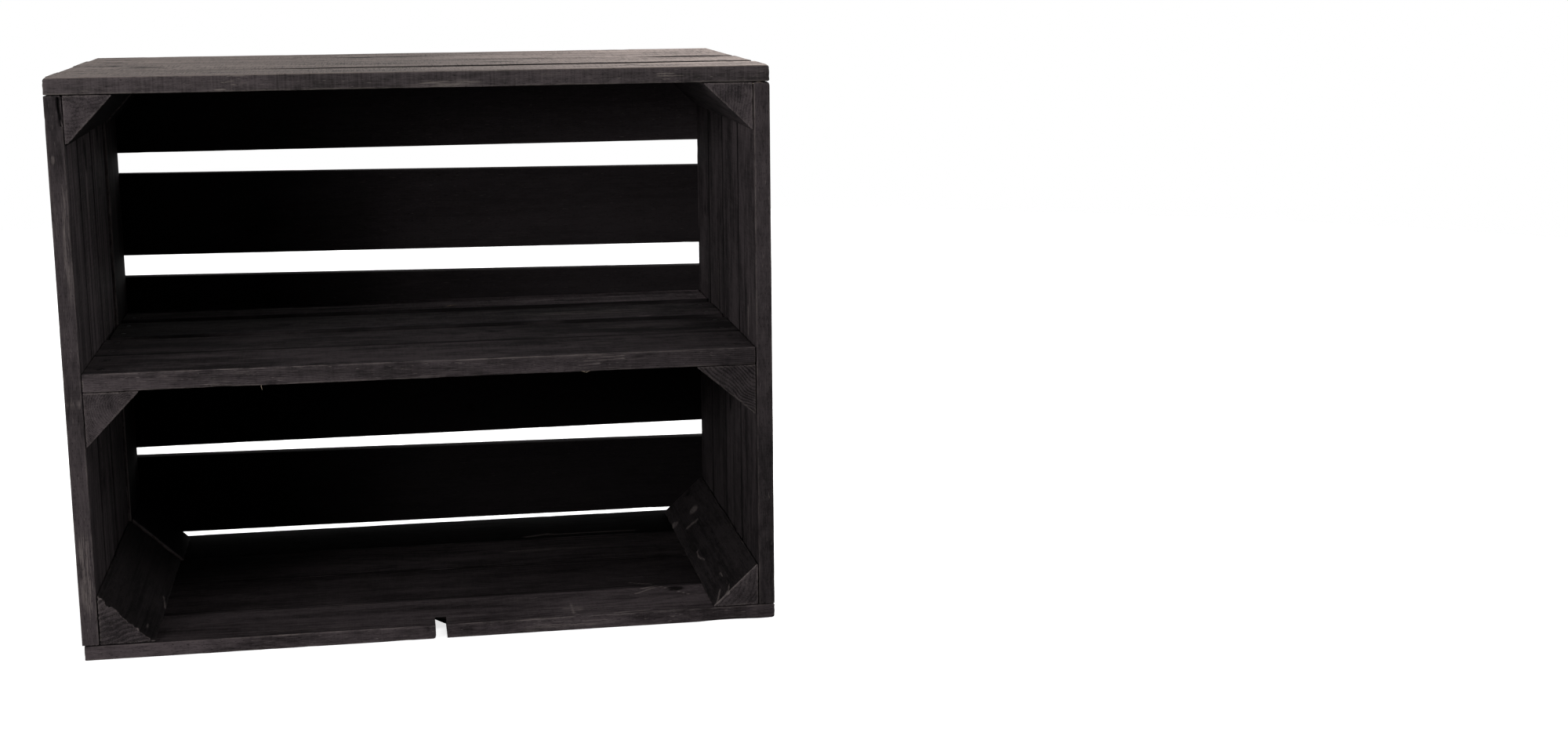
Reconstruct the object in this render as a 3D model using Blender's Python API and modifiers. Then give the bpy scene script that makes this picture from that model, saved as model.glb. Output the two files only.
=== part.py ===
"""Slatted wooden fruit crate stood on its long side, with a fixed shelf, as used for storage.

Frame: X is the width, Y the depth with the open front at -Y, Z is up. The origin is on the
floor, at the middle of the footprint. Every board and batten is a separate solid, held by nails.
"""

import math

import bmesh
import bpy
from mathutils import Vector

# Driving dimensions, in metres
WIDTH = 0.500
DEPTH = 0.300
HEIGHT = 0.412
BOARD = 0.012
BOTTOM_BOARD = 0.0105
SHELF_TOP = 0.207
SHELF_BOARD = 0.013
GAP = 0.0003
ARRIS = 0.0008

# Joints between the boards of each panel, as distances back from the open front
TOP_JOINTS = (0.0, 0.075, 0.160, 0.242, DEPTH)
BOTTOM_JOINTS = (0.0, 0.068, 0.150, 0.226, DEPTH)
WALL_DEPTH = DEPTH - BOARD - GAP
LEFT_JOINTS = (0.0, 0.066, 0.140, 0.217, WALL_DEPTH)
RIGHT_JOINTS = (0.0, 0.075, 0.150, 0.223, WALL_DEPTH)
SHELF_RUNS = ((0.0, 0.0738), (0.0742, 0.147), (0.153, 0.226), (0.234, WALL_DEPTH))
PANEL_SEAM = 0.0006
WALL_SEAM = 0.0008

# How far each board stops short of the full width, at its left and right ends
TOP_TRIMS = ((0.0, 0.0), (0.0012, 0.0), (0.0, 0.0010), (0.0016, 0.0006))
BOTTOM_TRIMS = ((0.0012, 0.0), (0.0015, 0.0008), (0.0008, 0.0), (0.0, 0.0012))

# The left wall's rear board stands further in than its neighbours
PROUD = 0.0022

# Slanting edges of the back boards: lower and upper height at the left end, then at the right
BACK_BOARDS = (
    (0.3355, HEIGHT - BOARD - GAP, 0.3355, HEIGHT - BOARD - GAP),
    (0.2520, 0.3190, 0.2477, 0.3140),
    (0.1670, 0.2346, 0.1630, 0.2280),
    (0.0908, 0.1565, 0.0922, 0.1560),
    (0.0168, 0.0830, 0.0156, 0.0775),
)

# Triangular battens: width along the panel, then height along the wall
TOP_LEFT = (0.034, 0.036)
TOP_RIGHT = (0.037, 0.0355)
BOTTOM_LEFT = (0.040, 0.038)
BOTTOM_RIGHT = (0.0355, 0.0326)
SUPPORT_LEFT = (0.039, 0.0405)
SUPPORT_RIGHT = (0.045, 0.0386)
FRONT_SETBACK = 0.0006

# Nails: the head sits just under the surface of its board
HEAD_RADIUS = 0.0022
HEAD_THICKNESS = 0.0009
SHANK_RADIUS = 0.0010
NAIL_LENGTH = 0.028
NAIL_POINT = 0.003
NAIL_SUNK = 0.0002
NAIL_SIDES = 12
SHELF_NAIL_INSET = 0.011
BACK_NAIL_INSET = 0.0065
BACK_NAIL_LENGTH = 0.032
PILOT_DEPTH = 0.002

# Split out of the front bottom board
NOTCH_LEFT = -0.002
NOTCH_RIGHT = 0.006
NOTCH_SHALLOW = 0.012
NOTCH_DEEP = 0.027

FRONT = -DEPTH / 2
WALL_LOW = BOTTOM_BOARD + GAP
WALL_HIGH = HEIGHT - BOARD - GAP
INNER = WIDTH / 2 - BOARD
MERGE = 0.00001
QUARTER_TURN = math.pi / 2

STAINED_WOOD = (0.050, 0.045, 0.046, 1.0)
WEATHERED_TOP = (0.110, 0.098, 0.094, 1.0)
NAIL_STEEL = (0.080, 0.075, 0.072, 1.0)


def clear_scene():
    for old in list(bpy.data.objects):
        bpy.data.objects.remove(old, do_unlink=True)


def make_collection(name):
    collection = bpy.data.collections.new(name)
    bpy.context.scene.collection.children.link(collection)
    return collection


def finish_of(name, colour, roughness, metallic):
    """A Principled material in the piece's own colour."""
    material = bpy.data.materials.new(name)
    material.use_nodes = True
    shader = material.node_tree.nodes["Principled BSDF"]
    shader.inputs["Base Color"].default_value = colour
    shader.inputs["Roughness"].default_value = roughness
    shader.inputs["Metallic"].default_value = metallic
    return material


def object_from(bm, name, collection):
    """Turns a bmesh into an object in the given collection."""
    bmesh.ops.recalc_face_normals(bm, faces=bm.faces[:])
    mesh = bpy.data.meshes.new(name)
    bm.to_mesh(mesh)
    bm.free()
    made = bpy.data.objects.new(name, mesh)
    collection.objects.link(made)
    return made


def break_arrises(made):
    """Takes the sharp edges off a sawn piece."""
    bevel = made.modifiers.new("arris", "BEVEL")
    bevel.width = ARRIS
    bevel.segments = 1
    bevel.limit_method = "ANGLE"
    bevel.use_clamp_overlap = True


def board(name, low, high, collection, colour=STAINED_WOOD):
    """A sawn board that fills the box from its low corner to its high corner."""
    low = Vector(low)
    high = Vector(high)
    bm = bmesh.new()
    bmesh.ops.create_cube(bm, size=1.0)
    bmesh.ops.scale(bm, vec=high - low, verts=bm.verts[:])
    made = object_from(bm, name, collection)
    made.location = (low + high) / 2
    made.data.materials.append(finish_of(name, colour, 0.8, 0.0))
    break_arrises(made)
    return made


def outline_solid(name, outline, thickness, middle, turned, collection, colour=STAINED_WOOD):
    """A flat outline with a thickness, its middle at the given place, turned about it."""
    curve = bpy.data.curves.new(name, "CURVE")
    curve.dimensions = "2D"
    curve.fill_mode = "BOTH"
    curve.extrude = thickness / 2
    spline = curve.splines.new("POLY")
    spline.points.add(len(outline) - 1)
    for point, (across, up) in zip(spline.points, outline):
        point.co = (across, up, 0.0, 1.0)
    spline.use_cyclic_u = True
    drawn = bpy.data.objects.new(name + "_outline", curve)
    collection.objects.link(drawn)
    drawn.location = middle
    drawn.rotation_euler = turned
    bpy.context.view_layer.update()
    graph = bpy.context.evaluated_depsgraph_get()
    mesh = bpy.data.meshes.new_from_object(drawn.evaluated_get(graph))
    bm = bmesh.new()
    bm.from_mesh(mesh)
    bmesh.ops.remove_doubles(bm, verts=bm.verts[:], dist=MERGE)
    bmesh.ops.dissolve_limit(bm, angle_limit=0.01, verts=bm.verts[:], edges=bm.edges[:])
    made = object_from(bm, name, collection)
    made.matrix_world = drawn.matrix_world.copy()
    bpy.data.objects.remove(drawn, do_unlink=True)
    bpy.data.meshes.remove(mesh)
    made.data.materials.append(finish_of(name, colour, 0.8, 0.0))
    return made


def upright_prism(name, outline, near, far, collection):
    """An outline of (x, z) points that runs back from y = near to y = far, edges broken."""
    middle = (0.0, (near + far) / 2, 0.0)
    turned = (QUARTER_TURN, 0.0, 0.0)
    made = outline_solid(name, outline, far - near, middle, turned, collection)
    break_arrises(made)
    return made


def nail_solid(name, length, grow, over, collection):
    """A nail turned about its own Z, head up at the origin; grow and over make it a pilot hole."""
    profile = (
        (0.0, over),
        (HEAD_RADIUS + grow, over),
        (HEAD_RADIUS + grow, -HEAD_THICKNESS - grow),
        (SHANK_RADIUS + grow, -HEAD_THICKNESS - grow),
        (SHANK_RADIUS + grow, -length + NAIL_POINT - grow),
        (0.0, -length - grow),
    )
    bm = bmesh.new()
    corners = [bm.verts.new((radius, 0.0, height)) for radius, height in profile]
    for start, end in zip(corners, corners[1:]):
        bm.edges.new((start, end))
    mesh = bpy.data.meshes.new(name)
    bm.to_mesh(mesh)
    bm.free()
    made = bpy.data.objects.new(name, mesh)
    collection.objects.link(made)
    turn = made.modifiers.new("turned", "SCREW")
    turn.steps = NAIL_SIDES
    turn.render_steps = NAIL_SIDES
    turn.use_merge_vertices = True
    turn.merge_threshold = MERGE
    return made


def cut(piece, cutter):
    difference = piece.modifiers.new("cut", "BOOLEAN")
    difference.operation = "DIFFERENCE"
    difference.solver = "EXACT"
    difference.object = cutter


def as_cutter(made):
    made.hide_render = True
    made.display_type = "WIRE"
    return made


def drive_nail(name, place, turned, length, through, parts, cutters):
    """One nail, with its pilot hole in each piece that it passes through."""
    nail = nail_solid(name, length, 0.0, -NAIL_SUNK, parts)
    nail.data.materials.append(finish_of(name, NAIL_STEEL, 0.5, 0.8))
    hole = as_cutter(nail_solid(name + "_pilot", length, GAP, PILOT_DEPTH, cutters))
    for made in (nail, hole):
        made.location = place
        made.rotation_euler = turned
    for piece in through:
        cut(piece, hole)


def depth_run(joints, index, seam):
    """Front and back of one board of a panel, with half the seam taken off at each joint."""
    near = joints[index] + (seam / 2 if index else 0.0)
    last = index == len(joints) - 2
    far = joints[index + 1] - (0.0 if last else seam / 2)
    return FRONT + near, FRONT + far


def build_flat_panel(name, joints, trims, floor, thickness, parts, colour):
    """The boards of the top or the bottom, side by side from front to back."""
    boards = []
    for index, (left_trim, right_trim) in enumerate(trims):
        near, far = depth_run(joints, index, PANEL_SEAM)
        low = (-WIDTH / 2 + left_trim, near, floor)
        high = (WIDTH / 2 - right_trim, far, floor + thickness)
        boards.append(board(f"{name}_board_{index + 1}", low, high, parts, colour))
    return boards


def build_wall(name, joints, outer, shifts, parts):
    """The upright boards of one side wall; outer is the x of the wall's outside face."""
    boards = []
    inward = -1 if outer > 0 else 1
    for index, shift in enumerate(shifts):
        near, far = depth_run(joints, index, WALL_SEAM)
        outside = outer + inward * shift
        inside = outside + inward * BOARD
        low = (min(outside, inside), near, WALL_LOW)
        high = (max(outside, inside), far, WALL_HIGH)
        boards.append(board(f"{name}_board_{index + 1}", low, high, parts))
    return boards


def build_back(parts):
    """Five slats across the back, not quite parallel, so the slots between them taper."""
    slats = []
    half = WIDTH / 2
    for index, (left_low, left_high, right_low, right_high) in enumerate(BACK_BOARDS):
        outline = ((-half, left_low), (half, right_low), (half, right_high), (-half, left_high))
        name = f"back_board_{index + 1}"
        slats.append(upright_prism(name, outline, DEPTH / 2 - BOARD, DEPTH / 2, parts))
    return slats


def build_shelf(parts):
    """Four boards between the side walls, resting on the two shelf supports."""
    boards = []
    for index, (near, far) in enumerate(SHELF_RUNS):
        left_gap = PROUD if far > LEFT_JOINTS[3] else 0.0
        low = (-INNER + GAP + left_gap, FRONT + near, SHELF_TOP - SHELF_BOARD)
        high = (INNER - GAP, FRONT + far, SHELF_TOP)
        boards.append(board(f"shelf_board_{index + 1}", low, high, parts))
    return boards


def batten(name, corner, legs, near, far, parts):
    """A triangular batten; corner is its square corner, legs are signed along x and z."""
    x, z = corner
    along, up = legs
    outline = ((x, z), (x + along, z), (x, z + up))
    return upright_prism(name, outline, FRONT + near, FRONT + far, parts)


def build_left_battens(parts):
    """On the left each batten is in two lengths, because the rear wall board stands proud."""
    split = LEFT_JOINTS[3]
    under_shelf = SHELF_TOP - SHELF_BOARD - GAP
    rows = (
        ("post_top_left", WALL_HIGH, (TOP_LEFT[0], -TOP_LEFT[1])),
        ("shelf_support_left", under_shelf, (SUPPORT_LEFT[0], -SUPPORT_LEFT[1])),
        ("post_bottom_left", WALL_LOW, BOTTOM_LEFT),
    )
    made = {}
    for name, height, legs in rows:
        x = -INNER + GAP
        made[name + "_front"] = batten(
            name + "_front", (x, height), legs, FRONT_SETBACK, split - WALL_SEAM, parts
        )
        made[name + "_rear"] = batten(
            name + "_rear", (x + PROUD, height), legs, split, WALL_DEPTH, parts
        )
    return made


def build_right_battens(parts):
    under_shelf = SHELF_TOP - SHELF_BOARD - GAP
    rows = (
        ("post_top_right", WALL_HIGH, (-TOP_RIGHT[0], -TOP_RIGHT[1])),
        ("shelf_support_right", under_shelf, (-SUPPORT_RIGHT[0], -SUPPORT_RIGHT[1])),
        ("post_bottom_right", WALL_LOW, (-BOTTOM_RIGHT[0], BOTTOM_RIGHT[1])),
    )
    made = {}
    for name, height, legs in rows:
        made[name] = batten(name, (INNER - GAP, height), legs, FRONT_SETBACK, WALL_DEPTH, parts)
    return made


def split_front_board(front_board, cutters):
    """The split in the front edge of the bottom: a narrow notch with a slanting end."""
    ahead = FRONT - 0.005
    outline = (
        (NOTCH_LEFT, ahead),
        (NOTCH_RIGHT, ahead),
        (NOTCH_RIGHT, FRONT + NOTCH_SHALLOW),
        (NOTCH_LEFT, FRONT + NOTCH_DEEP),
    )
    middle = (0.0, 0.0, BOTTOM_BOARD / 2)
    cutter = outline_solid("split_cutter", outline, 2 * BOTTOM_BOARD, middle, (0.0, 0.0, 0.0), cutters)
    cut(front_board, as_cutter(cutter))


def nail_shelf(boards, battens, parts, cutters):
    """Two nails through each end of every shelf board, into the support below."""
    split = FRONT + LEFT_JOINTS[3]
    for index, (piece, (near, far)) in enumerate(zip(boards, SHELF_RUNS)):
        for side in ("left", "right"):
            for number, share in enumerate((0.25, 0.75)):
                y = FRONT + near + share * (far - near)
                x = INNER - SHELF_NAIL_INSET
                support = "shelf_support_right"
                if side == "left":
                    x = -x
                    support = "shelf_support_left_front" if y < split else "shelf_support_left_rear"
                name = f"shelf_nail_{side}_{2 * index + number + 1}"
                place = (x, y, SHELF_TOP)
                through = (piece, battens[support])
                drive_nail(name, place, (0, 0, 0), NAIL_LENGTH, through, parts, cutters)


def nail_back(slats, left_wall, right_wall, parts, cutters):
    """One nail through each end of every back board, into the rear edge of the side wall."""
    for index, (slat, heights) in enumerate(zip(slats, BACK_BOARDS)):
        left_low, left_high, right_low, right_high = heights
        ends = (
            ("left", -WIDTH / 2 + PROUD + BACK_NAIL_INSET, (left_low + left_high) / 2, left_wall),
            ("right", WIDTH / 2 - BACK_NAIL_INSET, (right_low + right_high) / 2, right_wall),
        )
        for side, x, z, wall in ends:
            name = f"back_nail_{side}_{index + 1}"
            place = (x, DEPTH / 2, z)
            through = (slat, wall)
            turned = (-QUARTER_TURN, 0, 0)
            drive_nail(name, place, turned, BACK_NAIL_LENGTH, through, parts, cutters)


def build():
    clear_scene()
    parts = make_collection("slatted_shelf_crate")
    cutters = make_collection("cutters")
    build_flat_panel("top", TOP_JOINTS, TOP_TRIMS, HEIGHT - BOARD, BOARD, parts, WEATHERED_TOP)
    bottom = build_flat_panel(
        "bottom", BOTTOM_JOINTS, BOTTOM_TRIMS, 0.0, BOTTOM_BOARD, parts, STAINED_WOOD
    )
    left = build_wall("left", LEFT_JOINTS, -WIDTH / 2, (0.0, 0.0, 0.0, PROUD), parts)
    right = build_wall("right", RIGHT_JOINTS, WIDTH / 2, (0.0, 0.0, 0.0, 0.0), parts)
    slats = build_back(parts)
    shelf = build_shelf(parts)
    battens = {**build_left_battens(parts), **build_right_battens(parts)}
    split_front_board(bottom[0], cutters)
    nail_shelf(shelf, battens, parts, cutters)
    nail_back(slats, left[-1], right[-1], parts, cutters)
    bpy.context.view_layer.update()


build()
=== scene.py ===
"""Looks of a black-stained slatted crate shelf, built round its CAD frame.

Every board and batten is replaced by a fine mesh of its own. Worn arrises, raised grain, checks,
splits and nail dimples are geometry; the stain, growth rings and dry brush marks are nodes.
Light and shade are painted into the colour too: a lightness level along each board and batten,
painted shade in the seams, a painted sheen on the top and painted highlights on a few lit edges.
"""

import math
from types import SimpleNamespace

import bmesh
import bpy
import numpy as np
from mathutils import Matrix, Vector


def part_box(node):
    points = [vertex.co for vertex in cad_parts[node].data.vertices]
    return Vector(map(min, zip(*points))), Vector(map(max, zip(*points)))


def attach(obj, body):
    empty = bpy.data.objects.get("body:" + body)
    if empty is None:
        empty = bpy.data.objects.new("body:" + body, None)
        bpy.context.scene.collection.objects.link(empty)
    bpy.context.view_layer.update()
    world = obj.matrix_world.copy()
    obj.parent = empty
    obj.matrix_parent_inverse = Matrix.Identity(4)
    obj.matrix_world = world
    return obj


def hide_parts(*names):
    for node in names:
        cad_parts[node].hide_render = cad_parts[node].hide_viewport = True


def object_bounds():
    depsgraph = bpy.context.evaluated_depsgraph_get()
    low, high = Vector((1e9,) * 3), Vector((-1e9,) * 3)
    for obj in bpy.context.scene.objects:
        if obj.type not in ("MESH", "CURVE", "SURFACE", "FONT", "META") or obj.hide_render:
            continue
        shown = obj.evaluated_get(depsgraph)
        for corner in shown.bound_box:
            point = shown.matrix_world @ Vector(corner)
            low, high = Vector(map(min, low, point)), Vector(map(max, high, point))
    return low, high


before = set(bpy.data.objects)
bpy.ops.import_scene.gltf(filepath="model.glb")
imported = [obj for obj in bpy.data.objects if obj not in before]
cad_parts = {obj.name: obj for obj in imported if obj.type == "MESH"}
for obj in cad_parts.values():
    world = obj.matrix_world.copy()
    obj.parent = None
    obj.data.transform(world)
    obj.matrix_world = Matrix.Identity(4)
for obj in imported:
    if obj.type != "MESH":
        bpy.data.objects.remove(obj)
cad_box = [list(corner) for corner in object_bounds()]
MM = 0.001

# Nails, as distances from the ends or from the middle of the crate
TOP_NAIL_X = 0.230
WALL_NAIL_HEIGHTS = (0.026, 0.178, 0.387)
SHELF_NAIL_X = 0.227
BACK_NAIL_X = (-0.2413, 0.2435)
NAIL_SHARES = (0.25, 0.75)
HEAD_RADIUS = 2.2 * MM
HEAD_SUNK = 0.2 * MM
DIMPLE = 0.4 * MM

# The split in the front edge of the bottom: its two sides, how far back it runs at the top and, on
# either side, at the underside, and how round its lower left corner is
NOTCH_LEFT = -0.0018
NOTCH_RIGHT = 0.0064
NOTCH_TOP = 0.0195
NOTCH_UNDER_LEFT = 0.050
NOTCH_UNDER_RIGHT = 0.036
NOTCH_ROUND = 2.5 * MM

# The crate's front, half its width and its height
FRONT = cad_box[0][1]
SIDE = cad_box[1][0]
TOP = cad_box[1][2]


# ---------------------------------------------------------------- noise

def hashed(cells, seed):
    """A fixed pseudo-random number from 0 to 1 for each whole-number cell."""
    x, y, z = (cells[:, axis] for axis in range(3))
    mixed = (x * 73856093) ^ (y * 19349663) ^ (z * 83492791) ^ ((seed + 11) * 40503)
    mixed = ((mixed ^ (mixed >> 13)) * 1274126177) & 0xFFFFFFFF
    mixed = ((mixed ^ (mixed >> 16)) * 668265263) & 0xFFFFFFFF
    return ((mixed ^ (mixed >> 15)) & 0xFFFFFF) / 0xFFFFFF


def noise(points, cell, seed):
    """Smooth noise from 0 to 1; cell is the size of its features along each axis, in mm."""
    scaled = points / (np.asarray(cell) * MM)
    low = np.floor(scaled).astype(np.int64)
    part = scaled - low
    part = part * part * (3.0 - 2.0 * part)
    total = np.zeros(len(points))
    for corner in np.ndindex(2, 2, 2):
        weight = np.prod(np.where(np.array(corner) == 1, part, 1.0 - part), axis=1)
        total += weight * hashed(low + np.array(corner), seed)
    return total


def ramp(values, start, end):
    """Smooth step from 0 at start to 1 at end."""
    share = np.clip((values - start) / (end - start), 0.0, 1.0)
    return share * share * (3.0 - 2.0 * share)


# ---------------------------------------------------------------- grids and meshes

EDGE_LINES = (0.0, 0.3 * MM, 0.8 * MM, 1.5 * MM, 2.5 * MM)
AROUND_NAIL = (-3.4 * MM, -2.5 * MM, -1.4 * MM, 0.0, 1.4 * MM, 2.5 * MM, 3.4 * MM)
SMOOTH_ANGLE = math.radians(48)


def grid_lines(length, step, extras=()):
    """Places of the grid lines along one side: closer at both ends and at the extras."""
    kept = list(EDGE_LINES) + [length - line for line in EDGE_LINES]
    for mark in extras:
        if min(abs(mark - line) for line in kept) > 0.1 * MM and 0 < mark < length:
            kept.append(mark)
    for mark in np.linspace(0, length, round(length / step) + 1):
        if min(abs(mark - line) for line in kept) > 0.45 * step:
            kept.append(mark)
    return np.array(sorted(kept))


def shell(filled):
    """Outward quads round the filled cells of a grid, and the grid points that they use."""
    padded = np.pad(filled, 1)
    quads = []
    for axis in range(3):
        across, up = (axis + 1) % 3, (axis + 2) % 3
        inner = [slice(1, -1)] * 3
        inner[axis] = slice(0, -1)
        below = padded[tuple(inner)]
        inner[axis] = slice(1, None)
        above = padded[tuple(inner)]
        for facing_up in (True, False):
            at = np.argwhere(below & ~above if facing_up else above & ~below)
            steps = ((0, 0), (1, 0), (1, 1), (0, 1))
            quad = np.repeat(at[:, None, :], 4, axis=1)
            for corner, (right, top) in enumerate(steps if facing_up else steps[::-1]):
                quad[:, corner, across] += right
                quad[:, corner, up] += top
            quads.append(quad)
    corners = np.concatenate(quads).reshape(-1, 3)
    points, index = np.unique(corners, axis=0, return_inverse=True)
    return points, index.reshape(-1, 4)


def mesh_piece(name, points, faces, material, turn_out=False):
    """A smooth-shaded object from points and faces."""
    mesh = bpy.data.meshes.new(name)
    mesh.from_pydata(np.asarray(points).tolist(), [], [tuple(map(int, face)) for face in faces])
    if turn_out:
        bm = bmesh.new()
        bm.from_mesh(mesh)
        bmesh.ops.recalc_face_normals(bm, faces=bm.faces[:])
        bm.to_mesh(mesh)
        bm.free()
    mesh.materials.append(material)
    mesh.shade_smooth()
    mesh.set_sharp_from_angle(angle=SMOOTH_ANGLE)
    piece = bpy.data.objects.new(name, mesh)
    bpy.context.scene.collection.objects.link(piece)
    return piece


def store(piece, name, values):
    """Keeps a number or a vector for each point, for the piece's material to read."""
    values = np.asarray(values, np.float32)
    kind, key = ("FLOAT_VECTOR", "vector") if values.ndim == 2 else ("FLOAT", "value")
    layer = piece.data.attributes.new(name, kind, "POINT")
    layer.data.foreach_set(key, values.ravel())


def hand_in(piece, slot, nodes=()):
    """The piece moves with the crate's one body, and the CAD parts that it stands in for are hidden;
    slot is not used.
    """
    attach(piece, "root")
    if nodes:
        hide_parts(*nodes)


# ---------------------------------------------------------------- how wood is shaped

class Timber:
    """The growth rings, offsets and chance of one piece of wood."""

    def __init__(self, seed, width, thickness, knots=(), pith=None):
        chance = np.random.default_rng(seed)
        self.seed = seed
        self.knots = knots
        self.pith = np.array([chance.uniform(-0.3, 1.3) * width, -chance.uniform(18, 55) * MM])
        if chance.random() < 0.5:
            self.pith[1] = thickness - self.pith[1]
        if pith is not None:
            self.pith = np.array(pith)
        self.drift = chance.uniform(-0.03, 0.03, 2)
        self.offset = chance.uniform(-8, 8, 3)

    def rings(self, local):
        """Distance from the pith, wavering along the board and thrown up round each knot."""
        wander = noise(local, (160, 60, 60), self.seed + 1) - 0.5
        sway = noise(local, (90, 35, 35), self.seed + 2) - 0.5
        across = local[:, 1] - self.pith[0] - self.drift[0] * local[:, 0] + 16 * MM * wander
        deep = local[:, 2] - self.pith[1] - self.drift[1] * local[:, 0] + 9 * MM * sway
        distance = np.hypot(across, deep)
        for along, aside, radius in self.knots:
            reach = ((local[:, 0] - along) / (4.5 * radius)) ** 2
            reach += ((local[:, 1] - aside) / (1.5 * radius)) ** 2
            distance += 2.6 * radius * np.exp(-reach)
        return distance

    def knot_share(self, local):
        """1 in a knot, 0 away from it."""
        share = np.zeros(len(local))
        for along, aside, radius in self.knots:
            away = np.hypot((local[:, 0] - along) / 1.25, local[:, 1] - aside)
            share = np.maximum(share, 1.0 - ramp(away, 0.75 * radius, 1.15 * radius))
        return share


def distance_to_segment(points, start, end):
    """Distance of each point from a line, and how far along it the nearest place is."""
    start, end = np.asarray(start), np.asarray(end)
    run = end - start
    share = np.clip((points - start) @ run / (run @ run), 0.0, 1.0)
    return np.linalg.norm(points - start - share[:, None] * run, axis=1), share


def cracks_depth(world, cracks):
    """Depth of the grooves at each point; a crack is start, end, half its width, its depth."""
    depth = np.zeros(len(world))
    for start, end, half_width, deepest in cracks:
        away, share = distance_to_segment(world, start, end)
        taper = np.sqrt(np.clip(np.minimum(share, 1 - share) * 6, 0, 1))
        depth = np.maximum(depth, deepest * taper * (1 - ramp(away, 0.25 * half_width, half_width)))
    return depth


def near_spots(world, spots):
    """1 at the middle of any of the spots, 0 outside; a spot is its middle and three reaches."""
    share = np.zeros(len(world))
    for middle, reaches in spots:
        away = (((world - np.asarray(middle)) / np.asarray(reaches)) ** 2).sum(axis=1)
        share = np.maximum(share, 1 - ramp(away, 0.25, 1.0))
    return share


def pale_mark_share(world, bare, strokes):
    """How pale the wood shows, in spots and along strokes (start, end, half width): mostly where the
    stain is worn off, and on a few lit edges a painted highlight.
    """
    share = near_spots(world, bare)
    for start, end, half_width in strokes:
        away, _ = distance_to_segment(world, start, end)
        share = np.maximum(share, 1 - ramp(away, 0.3 * half_width, half_width))
    return share


def dimples(world, nails):
    """Depth of the dents that the nails' heads sit in."""
    depth = np.zeros(len(world))
    for place, axis in nails:
        away = world - np.asarray(place)
        below = np.abs(away @ np.asarray(axis))
        aside = np.sqrt(np.maximum((away ** 2).sum(axis=1) - below ** 2, 0))
        dent = DIMPLE * (1 - ramp(aside, HEAD_RADIUS + 0.15 * MM, HEAD_RADIUS + 1.1 * MM))
        depth = np.maximum(depth, np.where(below < 1.0 * MM, dent, 0))
    return depth


# ---------------------------------------------------------------- boards

# Along, across and through a board of each kind, in the crate's own axes
AXES = {
    "flat": np.array([[1.0, 0, 0], [0, 1, 0], [0, 0, 1]]),
    "wall": np.array([[0.0, 0, 1], [0, 1, 0], [-1, 0, 0]]),
    "back": np.array([[1.0, 0, 0], [0, 0, 1], [0, -1, 0]]),
}


def slat_edges(node, low, high):
    """Lower and upper edge of a back board at each end, in its own coordinates."""
    corners = np.array([vertex.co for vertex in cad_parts[node].data.vertices])
    edges = []
    for x in (low.x, high.x):
        heights = corners[np.abs(corners[:, 0] - x) < 1.5 * MM, 2]
        edges.append((heights.min() - low.z, heights.max() - low.z))
    return edges


def shape_split(local, low):
    """Turns the split's square end into an undercut break and rounds its lower left corner."""
    x = local[:, 0] + low.x
    depth = local[:, 1].copy()
    raised = local[:, 2] / local[:, 2].max()
    width = depth.max()
    slant = np.clip((NOTCH_RIGHT - x) / (NOTCH_RIGHT - NOTCH_LEFT), 0, 1)
    under = NOTCH_UNDER_RIGHT + (NOTCH_UNDER_LEFT - NOTCH_UNDER_RIGHT) * slant - NOTCH_TOP
    under *= 1 - ramp(np.maximum(NOTCH_LEFT - x, x - NOTCH_RIGHT), 0, 20 * MM)
    end = NOTCH_TOP + under * (1 - raised)
    behind = end + (depth - NOTCH_TOP) * (width - end) / (width - NOTCH_TOP)
    local[:, 1] = np.where(depth <= NOTCH_TOP, depth * end / NOTCH_TOP, behind)
    away = np.clip((NOTCH_LEFT - x) / NOTCH_ROUND, 0, 1)
    lift = NOTCH_ROUND * (1 - np.sqrt(1 - (1 - away) ** 2)) * (x < NOTCH_LEFT + 1e-6)
    local[:, 2] += lift * (1 - raised) * (1 - ramp(depth, 3 * MM, 10 * MM))


PLAIN_BOARD = dict(
    # Marks. Knots are places on the board; the others are places in the crate: grooves, chipped
    # edges, lower stretches of the upper face, pale patches (dry scuff marks, and on one board a
    # painted highlight on a lit edge), dark spots (stain marks, and on one board painted shade on a
    # seam's step), and where the stain is worn off, in spots and in strokes (a few strokes are painted
    # highlights on lit edges). split is True for the one board with the notch
    knots=(), cracks=(), bites=(), sinks=(), scuffs=(), stains=(), bare=(), strokes=(), split=False,
    # Shape: the grid's step along the board, how far the grain stands up, and the gap to the
    # neighbour in front and behind
    step=6 * MM, ridge=0.12 * MM, gap=(0.0, 0.0),
    # Growth rings: where the pith is, how far apart they are, and how clear (0 to 1) they are on
    # the faces and on the edge that looks forward
    pith=None, ring_step=3.4 * MM, rings=0.3, edge_rings=0.0,
    # Stain: how much of its pattern is streaks and not clouds, how even it is, how far the upper
    # face is lightened (weathering, and on the top a painted sheen), and how dark the painted shade in
    # the seams is
    streak=0.45, calm=0.0, bleach=0.0, grime=1.0,
    # Painted light and shade: a lightness level at the start, middle and end of the board, on
    # all of it or only on the face that looks into the crate, and the same for the edge that looks
    # forward
    shade=(1, 1, 1), inner=True, front=(1, 1, 1),
)
# How wide a worn arris is, and how much wider where it is chipped
ARRIS = 0.5 * MM
CHIP = 1.0 * MM
# The grid's steps across and through a board
STEP_ACROSS = 1.15 * MM
STEP_THROUGH = 1.0 * MM


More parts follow.
